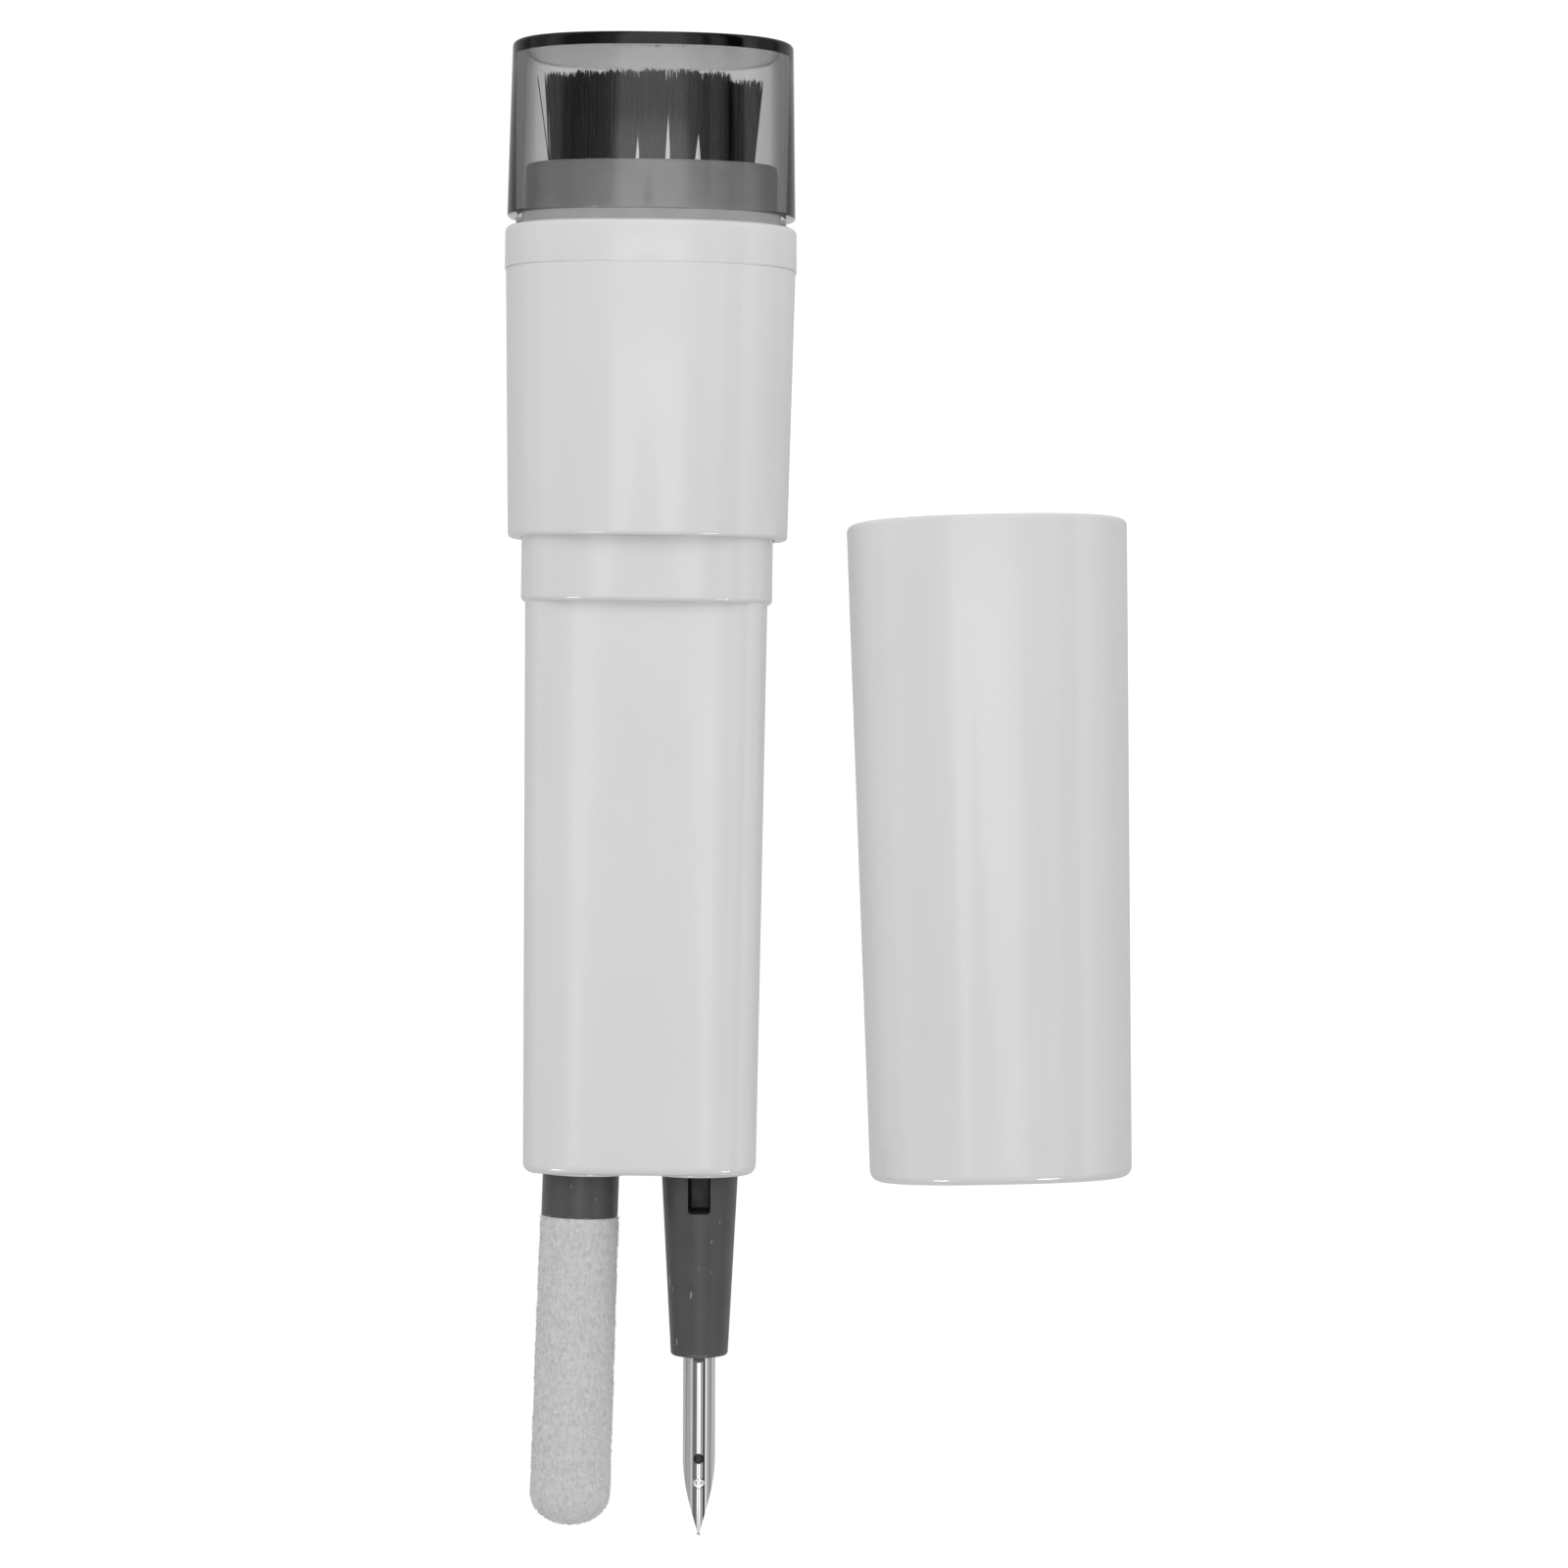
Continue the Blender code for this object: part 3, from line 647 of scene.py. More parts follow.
def make_collar():
    """The white collar, with a soft top edge."""
    top, foot = at["collar_top"], at["seam"] + SEAM_GAP
    inner = at["collar_half_width"] - BLOCK_HALF_WIDTH - 0.08 * MM
    corners = [
        (0, top, 0.5 * MM),
        (0, foot, 0.02 * MM),
        (inner, foot),
        (inner, top, 0.1 * MM),
    ]
    taper = ((top, at["collar_half_width"]), (foot, at["collar_half_width"]))
    collar = oval_shell("collar_shell", corners, taper, PEN_HALF_DEPTH, pen)
    place_piece(collar, "pen_body", "white_plastic", "collar_ring")


def make_upper_shell():
    """The oval grip shell."""
    top, foot = at["seam"] - SEAM_GAP, at["shoulder"]
    corners = [
        (0, top, 0.05 * MM),
        (0, foot, 0.35 * MM),
        (WALL, foot, 0.1 * MM),
        (WALL, top),
    ]
    taper = ((top, at["shell_half_width"]), (foot, SHELL_FOOT_HALF_WIDTH))
    shell = oval_shell("grip_shell", corners, taper, PEN_HALF_DEPTH, pen)
    place_piece(shell, "pen_body", "white_plastic", "upper_shell")


def make_seat():
    """The sleeve between the shell and the barrel, whose band is the main cap's seat."""
    top, foot = at["shoulder"] + 4 * MM, at["barrel_top"] + 0.05 * MM
    thick = 1.6 * MM
    corners = [
        (0, top),
        (0, foot, 0.4 * MM),
        (thick, foot),
        (thick, top),
    ]
    taper = ((top, SEAT_HALF_WIDTH), (foot, SEAT_HALF_WIDTH))
    seat = oval_shell("cap_seat", corners, taper, SEAT_HALF_DEPTH, pen, SEAT_POWER)
    place_piece(seat, "pen_body", "white_plastic", "seat_coupler")


def make_barrel():
    """The flat-sided barrel, with its two lipped sockets."""
    top, end = at["barrel_top"] + 2 * MM, at["barrel_end"]
    floor = end + 2 * MM
    corners = [
        (2.4 * MM, end),
        (1.6 * MM, end),
        (0, end, 1.0 * MM),
        (0, top),
        (BARREL_WALL, top),
        (BARREL_WALL, floor),
        (2.4 * MM, floor),
    ]
    taper = ((end, BARREL_END_HALF_WIDTH), (at["barrel_top"], BARREL_TOP_HALF_WIDTH))
    barrel = oval_shell("tool_barrel", corners, taper, BARREL_HALF_DEPTH, pen, BARREL_POWER, closed=False)
    lips = []
    for place in (sponge_frame, nib_frame):
        lip = [
            (0, MM),
            (SOCKET_LIP_RADIUS, MM),
            (SOCKET_LIP_RADIUS, -SOCKET_LIP_HEIGHT, 0.28 * MM),
            (0, -SOCKET_LIP_HEIGHT),
        ]
        lips.append(turned("lip", lip, place))
    boolean(barrel, lips, "UNION")
    holes = []
    for place in (sponge_frame, nib_frame):
        holes.append(cutter_rod(SOCKET_RADIUS, -2 * MM, 3 * MM, place, around=ROUND))
    boolean(barrel, holes)
    place_piece(barrel, "pen_body", "white_plastic", "lower_barrel")


def mouth_bow(y, depth):
    """The main cap's mouth is bowed: its front and back reach a little further than its sides."""
    share = max(0.0, 1 + y / MOUTH_BOW_LENGTH)
    return MOUTH_BOW * abs(depth) * share


def make_main_cap():
    """The white main cap: hollow, with a bowed mouth."""
    end = -CAP_LENGTH
    floor = end + 1.4 * MM
    half_width = at["shell_half_width"] - 0.4 * MM
    corners = [
        (2.6 * MM, end),
        (1.8 * MM, end),
        (0, end, 0.8 * MM),
        (0, 0, 0.4 * MM),
        (WALL, 0, 0.3 * MM),
        (WALL, floor, 0.8 * MM),
        (WALL + 2 * MM, floor),
    ]
    taper = ((end, CAP_END_HALF_WIDTH), (0, half_width))
    cap = oval_shell(
        "main_cap_shell", corners, taper, PEN_HALF_DEPTH, cap_frame, closed=False, crown=mouth_bow
    )
    place_piece(cap, "loose_main_cap", "white_plastic", "main_cap")


# -------------------- brush


def tuft_places():
    """Each tuft's column, row, x and z: three rows deep in the middle and two at the ends."""
    for column in range(TUFT_COLUMNS):
        rows = 2 if column in (0, TUFT_COLUMNS - 1) else 3
        x = (column - (TUFT_COLUMNS - 1) / 2) * TUFT_PITCH
        for row in range(rows):
            yield column + 1, row + 1, x, (row - (rows - 1) / 2) * TUFT_PITCH


def make_brush_block():
    """The grey block with its tuft holes and the two ribs that stop the dust cap."""
    top, foot = at["block_top"], at["block_foot"]
    corners = [(1.2 * MM, top), (0.7 * MM, top), (0, top, 0.3 * MM), (0, foot), (1.0 * MM, foot)]
    taper = ((top, BLOCK_HALF_WIDTH - 0.06 * MM), (foot, BLOCK_HALF_WIDTH))
    block = oval_shell("bristle_block", corners, taper, BLOCK_HALF_DEPTH, pen, closed=False)
    ribs = []
    for side in (-1, 1):
        width = 1.6 * MM
        centre = (side * (at["block_reach"] - width / 2), at["cap_rim"] - 0.42 * MM, 0)
        ribs.append(cutter_box((width, 0.34 * MM, 3.4 * MM), centre, pen, 0.08 * MM))
    boolean(block, ribs, "UNION")
    holes = []
    for _, _, x, z in tuft_places():
        holes.append(cutter_rod(TUFT_HOLE_RADIUS, top - TUFT_HOLE_DEPTH, top + MM, pen, x, z, around=24))
    boolean(block, holes)
    place_piece(block, "pen_body", "light_grey_plastic", "brush_block")


def strand_path(root, tip, bow, closing, steps=12):
    """Points of one filament, which leaves its hole straight and spreads over the closing heights."""
    made = []
    rise = tip[1] - at["block_top"]
    for i in range(steps + 1):
        share = i / steps
        y = root[1] + (tip[1] - root[1]) * share
        above = max(0.0, y - at["block_top"])
        sideways = min(1.0, max(0.0, above - closing[0]) / (closing[1] - closing[0]))
        swing = math.sin(math.pi * share)
        x = root[0] + (tip[0] - root[0]) * sideways + bow[0] * swing
        z = root[2] + (tip[2] - root[2]) * (above / rise) ** 1.5 + bow[1] * swing
        made.append((x, y, z))
    return made


def add_strand(vertices, faces, path, radius, start_turn):
    """A thin three-sided filament along a path that runs mostly along Y."""
    base = len(vertices)
    last = len(path) - 1
    for i, point in enumerate(path):
        size = radius * (1.0 if i < last else 0.6)
        for side in range(3):
            turn = start_turn + 2 * math.pi * side / 3
            x, z = size * math.cos(turn), size * math.sin(turn)
            vertices.append((point[0] + x, point[1], point[2] + z))
    for i in range(last):
        for side in range(3):
            other = (side + 1) % 3
            a, b = base + 3 * i, base + 3 * (i + 1)
            faces.append((a + side, a + other, b + other, b + side))
    faces.append((base, base + 2, base + 1))
    end = base + 3 * last
    faces.append((end, end + 1, end + 2))


def closing_heights(column, side):
    """Between which heights above the block a tuft's strands spread to meet those of the next column."""
    gap = column - 1 if side > 0 else column - 2
    low, high = SLITS[gap] if 0 <= gap < len(SLITS) else (0, 8)
    return low * MM, high * MM


def make_tuft(column, row, x, z):
    """One tuft: filaments from one hole, fanned out to meet those of the next tuft."""
    random = np.random.default_rng(100 * column + row)
    vertices, faces = [], []
    foot = at["block_top"] - TUFT_HOLE_DEPTH + 0.2 * MM
    node = f"bristle_tuft_{column}_{row}"
    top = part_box(node)[1].y - COLUMN_TRIM[column - 1]
    for _ in range(STRANDS_PER_TUFT):
        reach = math.sqrt(random.random())
        turn = random.uniform(0, 2 * math.pi)
        off = np.array([math.cos(turn), math.sin(turn)]) * reach
        root = (x + off[0] * ROOT_SPREAD, foot, z + off[1] * ROOT_SPREAD)
        stray = random.normal(0, 0.10, 2) * MM
        length = top - abs(random.normal(0, 0.16)) * MM
        reach_x = off[0] * TIP_SPREAD[0] + stray[0] + COLUMN_LEAN[column - 1]
        tip = (x + reach_x, length, z + off[1] * TIP_SPREAD[1] + stray[1])
        bow = random.normal(0, 0.04, 2) * MM
        path = strand_path(root, tip, bow, closing_heights(column, off[0]))
        add_strand(vertices, faces, path, STRAND_RADIUS, random.uniform(0, 2))
    if (column, row) == (1, 2):
        # One stray filament stands off the side of the brush.
        root = (x - 0.95 * MM, foot, z)
        tip = (x - 2.1 * MM, top - 0.35 * MM, z + 0.6 * MM)
        path = strand_path(root, tip, (0, 0), (0, 8 * MM))
        add_strand(vertices, faces, path, STRAND_RADIUS, 0)
    tuft = mesh_object(f"tuft_strands_{column}_{row}", vertices, faces, pen, sharp=80)
    place_piece(tuft, "pen_body", "black_bristle", node)


# -------------------- sponge tool


def holder_head():
    """The part of a holder's profile that stays inside the barrel."""
    return [
        (0, HOLDER_INSIDE),
        (HOLDER_RADIUS, HOLDER_INSIDE, 0.5 * MM),
        (HOLDER_RADIUS, GROOVE_MIDDLE + GROOVE_HALF_WIDTH),
        (GROOVE_RADIUS, GROOVE_MIDDLE + GROOVE_HALF_WIDTH),
        (GROOVE_RADIUS, GROOVE_MIDDLE - GROOVE_HALF_WIDTH),
        (HOLDER_RADIUS, GROOVE_MIDDLE - GROOVE_HALF_WIDTH),
    ]


def make_sponge_holder():
    """The grey ferrule that the sponge is pushed into."""
    end = SPONGE_HOLDER_END
    corners = holder_head() + [
        (HOLDER_RADIUS, end, 0.12 * MM),
        (HOLDER_RADIUS - 0.75 * MM, end, 0.1 * MM),
        (HOLDER_RADIUS - 0.75 * MM, end + 1.2 * MM),
        (SPONGE_BORE, end + 1.2 * MM),
        (SPONGE_BORE, 0.7 * MM),
        (0, 0.7 * MM),
    ]
    holder = turned("sponge_ferrule", corners, sponge_frame)
    place_piece(holder, "sponge_tool", "dark_grey_plastic", "sponge_holder")


def sponge_outline(y):
    """The sponge's radius at y: a slightly swelling finger with a blunt round tip."""
    swell = SPONGE_RADIUS + 0.10 * MM * (SPONGE_HOLDER_END - y) / (SPONGE_HOLDER_END - SPONGE_TIP)
    start = SPONGE_TIP + SPONGE_TIP_LENGTH
    if y > start:
        neck = max(0.0, 1 - (SPONGE_HOLDER_END - y) / (0.5 * MM))
        return swell - 0.08 * MM * neck**2
    share = min(1.0, (start - y) / SPONGE_TIP_LENGTH)
    return swell * math.sqrt(max(0.0, 1 - share**2.15))


def sponge_point(turn, y, stand=0.0):
    """A point on the sponge's lumpy surface."""
    radius = sponge_outline(y)
    direction = Vector((math.cos(turn), 0, math.sin(turn)))
    place = direction * radius + Vector((0, y, 0))
    lump = 0.05 * MM * noise.noise(place * 520) + 0.022 * MM * noise.noise(place * 2300)
    return direction * max(0.0, radius + lump + stand) + Vector((0, y, 0))


def make_sponge():
    """The flocked foam finger: a lumpy skin, a neck that fits its ferrule and a bore for the stem."""
    around, along = 128, 220
    turns = [2 * math.pi * k / around for k in range(around)]
    start = SPONGE_TIP + SPONGE_TIP_LENGTH
    levels = [SPONGE_TIP + SPONGE_TIP_LENGTH * (1 - math.cos(math.pi / 2 * i / 40)) for i in range(40)]
    levels += list(np.linspace(start, SPONGE_HOLDER_END, along))
    loops = [[sponge_point(turn, y) for turn in turns] for y in levels[1:]]
    neck, neck_foot = HOLDER_RADIUS - 0.85 * MM, SPONGE_HOLDER_END - 0.05 * MM
    top, bore_end = SPONGE_HOLDER_END + 0.9 * MM, SPONGE_TIP + 1.9 * MM
    for radius, y in ((neck, neck_foot), (neck, top), (SPONGE_BORE, top), (SPONGE_BORE, bore_end)):
        loops.append([(radius * math.cos(turn), y, radius * math.sin(turn)) for turn in turns])
    vertices, rings = [(0.0, SPONGE_TIP, 0.0)], [[0] * around]
    for loop in loops:
        rings.append(list(range(len(vertices), len(vertices) + around)))
        vertices += loop
    rings.append([len(vertices)] * around)
    vertices.append((0.0, bore_end, 0.0))
    sponge = mesh_object("sponge_foam", vertices, skin(rings), sponge_frame, sharp=60)
    place_piece(sponge, "sponge_tool", "grey_flock", "sponge_sleeve")


def nap_lean(place):
    """Which way the nap lies at a place: swirls that change over a millimetre or two."""
    return Vector((
        noise.noise(place * 700 + Vector((5, 0, 0))),
        noise.noise(place * 700 + Vector((0, 9, 0))) - 0.25,
        noise.noise(place * 700 + Vector((0, 0, 13))),
    ))


def fibre_direction(random, root, turn, y, fringe):
    """Which way a fibre stands: outwards, with the lie of the nap round it and a lean of its own."""
    above = sponge_point(turn, y + 0.02 * MM)
    below = sponge_point(turn, y - 0.02 * MM) if y - 0.02 * MM > SPONGE_TIP else root
    slope = (above - below).normalized()
    side = Vector((-math.sin(turn), 0, math.cos(turn)))
    outward = side.cross(slope).normalized()
    if outward.dot(root - Vector((0, root.y + 0.3 * MM, 0))) < 0:
        outward.negate()
    lean = nap_lean(root) * 1.1 + Vector(random.normal(0, 0.45, 3))
    if fringe:
        lean.y += 1.1
    direction = (outward * 0.75 + lean).normalized()
    if direction.dot(outward) < 0.25:
        direction = (direction + outward * 0.6).normalized()
    return direction


def add_fibre(vertices, faces, root, direction, length, droop):
    """One short three-sided fibre that tapers to its tip and bends there along Y."""
    middle = root + direction * length * 0.5
    tip = root + (direction + Vector((0, droop, 0))).normalized() * length
    across = direction.cross(Vector((0.3, 0.9, 0.2))).normalized() * FIBRE_RADIUS
    other = direction.cross(across).normalized() * FIBRE_RADIUS
    base = len(vertices)
    for centre, size in ((root, 1.0), (middle, 0.8)):
        back = centre - across * 0.5 * size
        vertices += [centre + across * size, back + other * size, back - other * size]
    vertices.append(tip)
    for k in range(3):
        n = (k + 1) % 3
        faces.append((base + k, base + n, base + 3 + n, base + 3 + k))
        faces.append((base + 3 + k, base + 3 + n, base + 6))
    faces.append((base, base + 2, base + 1))


def make_nap():
    """The flock fibres that stand on the sponge, with a longer fringe at its ferrule."""
    random = np.random.default_rng(7)
    vertices, faces = [], []
    area_top, area_tip = SPONGE_HOLDER_END - 0.02 * MM, SPONGE_TIP + 0.01 * MM
    for _ in range(NAP_FIBRES):
        y = area_tip + (area_top - area_tip) * random.random()
        turn = random.uniform(0, 2 * math.pi)
        root = sponge_point(turn, y, -0.02 * MM)
        fringe = y > SPONGE_HOLDER_END - FRINGE
        direction = fibre_direction(random, root, turn, y, fringe)
        length = NAP_LENGTH * random.uniform(0.55, 1.0) * (1.4 if fringe else 1.0)
        add_fibre(vertices, faces, root, direction, length, 0.2 if fringe else -0.35)
    nap = mesh_object("sponge_nap", vertices, faces, sponge_frame, sharp=80)
    place_piece(nap, "sponge_tool", "grey_flock")


# -------------------- nib tool


def make_nib_holder():
    """The tapered grey holder, with its slot, its bore and the tongue over the nib's root."""
    bore = NIB_RADIUS + 0.03 * MM
    end = NIB_HOLDER_END
    corners = holder_head() + [
        (HOLDER_RADIUS, 0, 0.0),
        (NIB_HOLDER_END_RADIUS, end, 0.35 * MM),
        (NIB_HOLDER_END_RADIUS - 0.65 * MM, end - 0.12 * MM, 0.2 * MM),
        (bore, end - 0.2 * MM),
        (bore, NIB_ROOT + 0.1 * MM),
        (0, NIB_ROOT + 0.1 * MM),
    ]
    holder = turned("nib_grip", corners, nib_frame)
    size = (SLOT_WIDTH, SLOT_TOP - SLOT_END, HOLDER_RADIUS + MM - SLOT_FLOOR)
    centre = (0, (SLOT_TOP + SLOT_END) / 2, SLOT_FLOOR + size[2] / 2)
    slot = cutter_box(size, centre, nib_frame, 0.28 * MM)
    boolean(holder, [slot])
    tongue_frame = nib_frame @ Matrix.Translation((0, end - 0.1 * MM, NIB_RADIUS - 0.05 * MM))
    tongue = ellipsoid("cutter", (0.46 * MM, 0.5 * MM, 0.17 * MM), tongue_frame)
    boolean(holder, [tongue], "UNION")
    place_piece(holder, "nib_tool", "dark_grey_plastic", "nib_holder")


def nib_half_turn(y):
    """How far the rolled sheet reaches round each side at y, in radians."""
    if y >= NIB_GOUGE_START:
        return NIB_SEAM_HALF_TURN
    if y >= NIB_POINT_START:
        share = (NIB_GOUGE_START - y) / (NIB_GOUGE_START - NIB_POINT_START)
        ease = share * share * (3 - 2 * share)
        return NIB_SEAM_HALF_TURN + (NIB_GOUGE_HALF_TURN - NIB_SEAM_HALF_TURN) * ease
    share = (y - NIB_TIP) / (NIB_POINT_START - NIB_TIP)
    return math.asin(0.05 + 0.949 * math.sin(share * math.pi / 2) ** 1.12)


def nib_point(y, turn):
    """A point of the rolled sheet's outside, which dips at its tip and has a raised round mark."""
    dip = NIB_BEND * max(0.0, (NIB_BEND_START - y) / (NIB_BEND_START - NIB_TIP)) ** 2
    from_mark = math.hypot(NIB_RADIUS * turn, y - MARK_Y) - MARK_RADIUS
    radius = NIB_RADIUS + MARK_HEIGHT * math.exp(-((from_mark / MARK_WIDTH) ** 2))
    return radius * math.sin(turn), y, radius * math.cos(turn) - dip


def nib_sheet():
    """The rolled sheet: a tube with a seam behind, cut to a point."""
    across, along = 132, 300
    vertices, faces = [], []
    for row in range(along + 1):
        y = NIB_ROOT + (NIB_TIP - NIB_ROOT) * row / along
        reach = nib_half_turn(y)
        vertices += [nib_point(y, reach * (2 * column / across - 1)) for column in range(across + 1)]
    width = across + 1
    for row in range(along):
        for column in range(across):
            a = row * width + column
            faces.append((a, a + 1, a + width + 1, a + width))
    sheet = mesh_object("nib_sheet", vertices, faces, nib_frame, sharp=50)
    top = max(sheet.data.polygons, key=lambda face: face.center.z)
    if top.normal.z < 0:
        sheet.data.flip_normals()
    thick = sheet.modifiers.new("sheet", "SOLIDIFY")
    thick.thickness = NIB_SHEET
    thick.offset = -1
    return sheet


def make_nib():
    """The polished nib, with its breather hole, the notch at its root and the pellet at its tip."""
    nib = nib_sheet()
    upright = Matrix.Rotation(math.radians(90), 4, "X")
    hole_place = nib_frame @ Matrix.Translation((0, BREATHER_Y, NIB_RADIUS)) @ upright
    hole = cutter_rod(BREATHER_RADIUS, -MM, MM, hole_place)
    turn = Matrix.Rotation(math.radians(45), 4, "Z")
    notch_place = nib_frame @ Matrix.Translation((0, NIB_HOLDER_END, NIB_RADIUS)) @ turn
    notch = cutter_box((NOTCH_SIDE, NOTCH_SIDE, MM), (0, 0, 0), notch_place)
    boolean(nib, [hole, notch])
    place_piece(nib, "nib_tool", "polished_steel", "nib_blade")
    tip = nib_frame @ Matrix.Translation((0, NIB_TIP + 0.02 * MM, NIB_RADIUS - NIB_BEND - 0.1 * MM))
    pellet = ellipsoid("nib_pellet", (0.15 * MM, 0.2 * MM, 0.15 * MM), tip)
    place_piece(pellet, "nib_tool", "polished_steel")


# -------------------- inner pieces and stage


def finish_inner_pieces():
    """The CAD nodes that stay: they lie inside, and only take a better finish."""
    kept = {
        "tool_guide": "light_grey_plastic",
        "sponge_core": "light_grey_plastic",
        "sponge_grip_ring": "black_rubber",
        "nib_grip_ring": "black_rubber",
        "nib_feed": "dark_grey_plastic",
    }
    for node, slot in kept.items():
        for holder in frame["nodes"][node].material_slots:
            holder.material = looks[slot]


def make_camera():
    """The camera looks straight down, with the pen turned a little in the picture."""
    data = bpy.data.cameras.new("camera")
    data.sensor_width = SENSOR
    data.lens = SENSOR * CAMERA_HEIGHT / IMAGE_WIDTH
    data.clip_start = 0.01
    data.clip_end = 20.0
    camera = add_object("camera", data)
    camera.location = (*CAMERA_OFFSET, PEN_HALF_DEPTH + CAMERA_HEIGHT)
    camera.rotation_euler = (0, 0, CAMERA_ROLL)
    bpy.context.scene.camera = camera


# How bright the table glows, as (share of its reach, radiance), by the distance across it from the
# nearer long piece's axis.
TABLE_REACH = 80 * MM
TABLE_GLOW = [(0.0, 0.42), (0.2, 0.42), (0.4, 0.3), (0.7, 0.12), (1.0, 0.06)]
# It is brightest under the tinted cap, and that pool of light fades over this distance.
POOL_FADE = 3.0 * MM
TABLE_GLOW_IN_VIEW = 0.92
TABLE_GREY = 0.24


def distance_from(nodes, link, source, middle):
    """How far a coordinate is from a place."""
    return add_math(nodes, link, "ABSOLUTE", add_math(nodes, link, "SUBTRACT", source, middle), 0)


def table_glow(nodes, link):
    """The table's glow from place to place: a pool under the tinted cap, and less to the sides."""
    where = nodes.new("ShaderNodeTexCoord")
    split = nodes.new("ShaderNodeSeparateXYZ")
    link(where.outputs["Object"], split.inputs["Vector"])
    across = add_math(nodes, link, "ABSOLUTE", split.outputs["X"], 0)
    across = distance_from(nodes, link, across, abs(at["axis_x"]))
    share = add_range(nodes, link, across, 0, TABLE_REACH, 0, 1)
    glow = add_ramp(nodes, link, share, TABLE_GLOW).outputs["Color"]
    aside = distance_from(nodes, link, split.outputs["X"], at["axis_x"])
    beyond = distance_from(nodes, link, split.outputs["Y"], (at["cap_rim"] + at["cap_end"]) / 2)
    past_side = add_math(nodes, link, "SUBTRACT", aside, at["cap_half_width"])
    past_end = add_math(nodes, link, "SUBTRACT", beyond, (at["cap_end"] - at["cap_rim"]) / 2)
    past = add_math(nodes, link, "MAXIMUM", past_side, past_end)
    pool = add_range(nodes, link, past, 0, POOL_FADE, 1, 0)
    return add_mix(nodes, link, pool, glow, 1.0)


def make_floor():
    """A light table, which is an even white in view."""
    bpy.ops.mesh.primitive_plane_add(size=6, location=(0, 0, -0.02 * MM))
    floor = bpy.context.object
    floor.name = "floor"
    material, shader, nodes, link = new_material("pale_floor")
    shader.inputs["Base Color"].default_value = (TABLE_GREY, TABLE_GREY, TABLE_GREY, 1.0)
    shader.inputs["Roughness"].default_value = 0.9
    shader.inputs["Specular IOR Level"].default_value = 0.1
    shader.inputs["Emission Strength"].default_value = 1.0
    in_view = nodes.new("ShaderNodeLightPath").outputs["Is Camera Ray"]
    glow = add_mix(nodes, link, in_view, table_glow(nodes, link), TABLE_GLOW_IN_VIEW)
    link(glow, shader.inputs["Emission Color"])
    floor.data.materials.append(material)


# What glossy surfaces mirror: the studio round the pen's long axis, as (degrees from straight up
# towards +X, radiance).
STUDIO_BANDS = [
    (-180, 0.55), (-125, 0.55), (-104, 0.28), (-98, 0.36), (-86, 0.58), (-70, 0.38), (-62, 0.62),
    (-53, 0.70), (-46, 0.45), (-40, 0.18), (-22, 0.2), (-12, 0.5), (-9, 2.1), (6.5, 2.1),
    (9.5, 0.8), (14, 0.6), (16, 0.25), (18, 0.25), (21, 0.65), (27, 0.5), (31, 0.04), (42, 0.04),
    (46, 0.95), (57, 0.9), (62, 0.5), (84, 0.42), (90, 0.27), (100, 0.27), (114, 0.5), (180, 0.55),
]
# The gap between the two overhead strips: a wedge that opens towards the tool end.
GAP_MIDDLE = -1.9
GAP_CLOSES_AT = 6.0
GAP_SPREAD = 0.3
GAP_RADIANCE = 0.85
# The strips' two soft sides, and the angles along the pen over which they weaken.
STRIP_SIDES = ((-14, -11), (8, 11))
STRIP_FADES_OVER = (7.5, 9.5)
STRIP_LOSS = 0.45
# What matt surfaces are lit by: a dome that is brighter towards the sides.
DOME_OVERHEAD = 0.56
DOME_SIDES = 0.9
BACKDROP = 0.9


def angle_round(nodes, link, split, axis):
    """The angle of a direction from straight up towards one horizontal axis, in degrees."""
    turn = nodes.new("ShaderNodeMath")
    turn.operation = "ARCTAN2"
    link(split.outputs[axis], turn.inputs[0])
    link(split.outputs["Z"], turn.inputs[1])
    return add_range(nodes, link, turn.outputs[0], -math.pi, math.pi, -180, 180)


def studio_bands(nodes, link, split):
    """The mirrored studio: long bands along the pen, with the wedge between its overhead strips."""
    across = angle_round(nodes, link, split, "X")
    along = angle_round(nodes, link, split, "Y")
    share = add_range(nodes, link, across, -180, 180, 0.0, 1.0)
    brightest = max(light for _, light in STUDIO_BANDS)
    stops = [((angle + 180) / 360, light / brightest) for angle, light in STUDIO_BANDS]
    bands = add_ramp(nodes, link, share, stops).outputs["Color"]
    from_gap = distance_from(nodes, link, across, GAP_MIDDLE)
    reach = add_math(nodes, link, "SUBTRACT", GAP_CLOSES_AT, along)
    reach = add_math(nodes, link, "MULTIPLY", reach, GAP_SPREAD)
    inside = add_math(nodes, link, "SUBTRACT", reach, from_gap)
    in_gap = add_range(nodes, link, inside, 0, 0.3, 0, 1)
    bands = add_mix(nodes, link, in_gap, bands, GAP_RADIANCE / brightest)
    (left_out, left_in), (right_in, right_out) = STRIP_SIDES
    left = add_range(nodes, link, across, left_out, left_in, 0, 1)
    right = add_range(nodes, link, across, right_in, right_out, 1, 0)
    strips = add_math(nodes, link, "MULTIPLY", left, right)
    loss = add_range(nodes, link, along, *STRIP_FADES_OVER, 0, STRIP_LOSS)
    loss = add_math(nodes, link, "MULTIPLY", strips, loss)
    return add_mix(nodes, link, loss, bands, 0.0), brightest


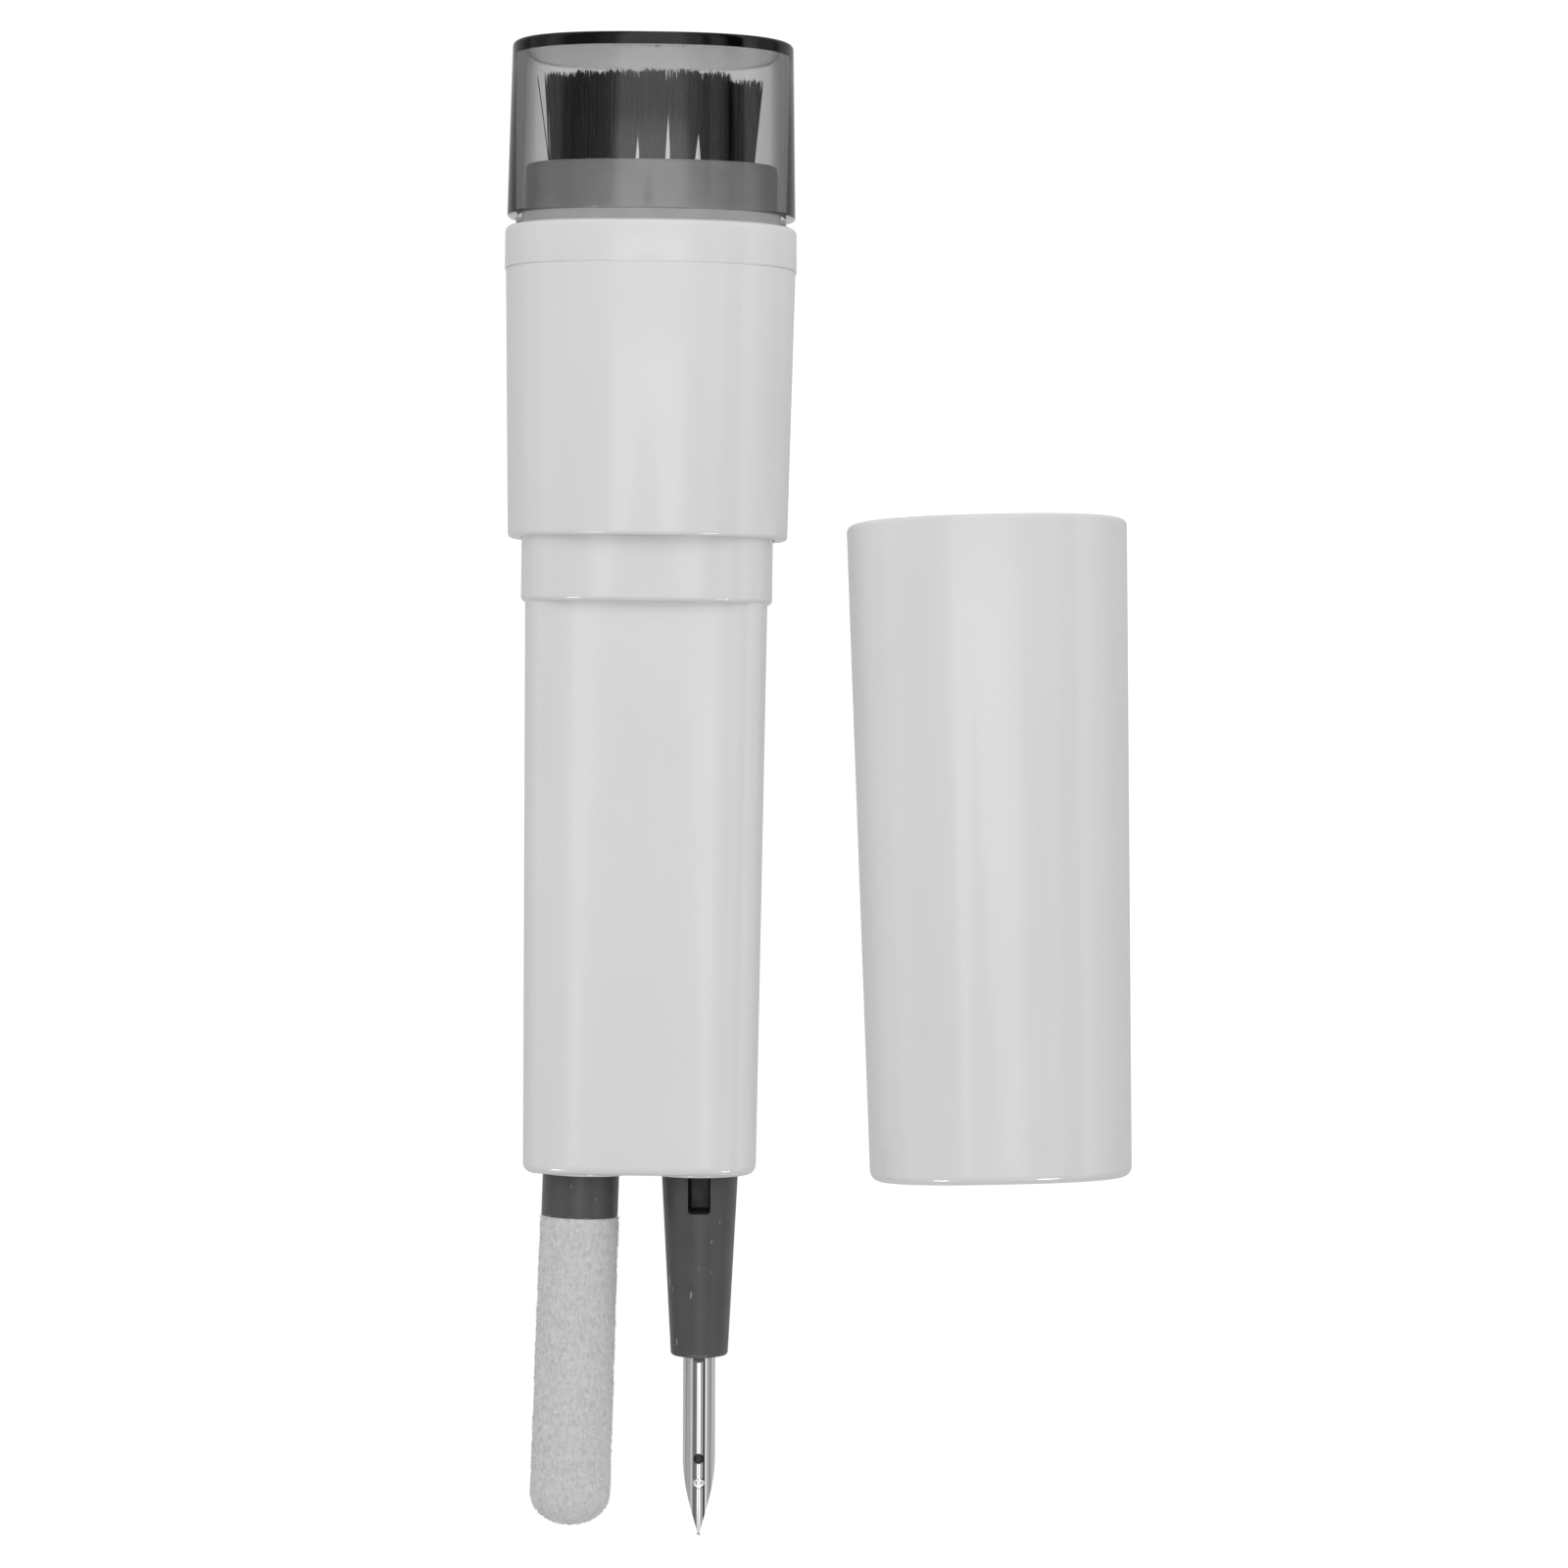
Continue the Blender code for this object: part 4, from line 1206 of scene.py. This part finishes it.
def make_studio():
    """Soft studio light: a dome that lights matt surfaces, and long bands that glossy ones mirror."""
    world = bpy.data.worlds.new("studio")
    bpy.context.scene.world = world
    world.use_nodes = True
    nodes, link = world.node_tree.nodes, world.node_tree.links.new
    where = nodes.new("ShaderNodeTexCoord")
    split = nodes.new("ShaderNodeSeparateXYZ")
    link(where.outputs["Generated"], split.inputs["Vector"])
    bands, brightest = studio_bands(nodes, link, split)
    height = add_range(nodes, link, split.outputs["Z"], 0, 1, 0, 1)
    stops = [(0.0, DOME_SIDES / brightest), (1.0, DOME_OVERHEAD / brightest)]
    dome = add_ramp(nodes, link, height, stops).outputs["Color"]
    path = nodes.new("ShaderNodeLightPath")
    light = add_mix(nodes, link, path.outputs["Is Glossy Ray"], dome, bands)
    light = add_mix(nodes, link, path.outputs["Is Camera Ray"], light, BACKDROP / brightest)
    background = nodes["Background"]
    link(light, background.inputs["Color"])
    background.inputs["Strength"].default_value = brightest


# Two lamps past the tool end, and a broad key light past the brush end.
LAMP_SIZE = 0.22
LAMP_POWER = 3.2
LAMP_PLACES = ((-0.38, -1.1, 0.62), (0.38, -1.1, 0.62))
KEY_SIZE = 0.5
KEY_POWER = 0.95
KEY_PLACE = (0.0, 0.42, 0.45)


def add_disk_light(name, size, power, place):
    """A soft round lamp that faces the object."""
    data = bpy.data.lights.new(name, "AREA")
    data.shape = "DISK"
    data.size = size
    data.energy = power
    lamp = add_object(name, data)
    lamp.location = place
    lamp.rotation_euler = (-lamp.location).to_track_quat("-Z", "Y").to_euler()
    return lamp


def make_lamps():
    """Two lamps that glint along the rounded edges, and a key light that brightens matt surfaces."""
    for place in LAMP_PLACES:
        add_disk_light("edge_lamp", LAMP_SIZE, LAMP_POWER, place).visible_diffuse = False
    add_disk_light("key_light", KEY_SIZE, KEY_POWER, KEY_PLACE).visible_glossy = False


make_camera()
bpy.context.scene.view_settings.view_transform = "Standard"
make_floor()
make_studio()
make_lamps()
make_dust_cap()
make_collar()
make_upper_shell()
make_seat()
make_barrel()
make_main_cap()
make_brush_block()
for column, row, x, z in tuft_places():
    make_tuft(column, row, x, z)
make_sponge_holder()
make_sponge()
make_nap()
make_nib_holder()
make_nib()
finish_inner_pieces()
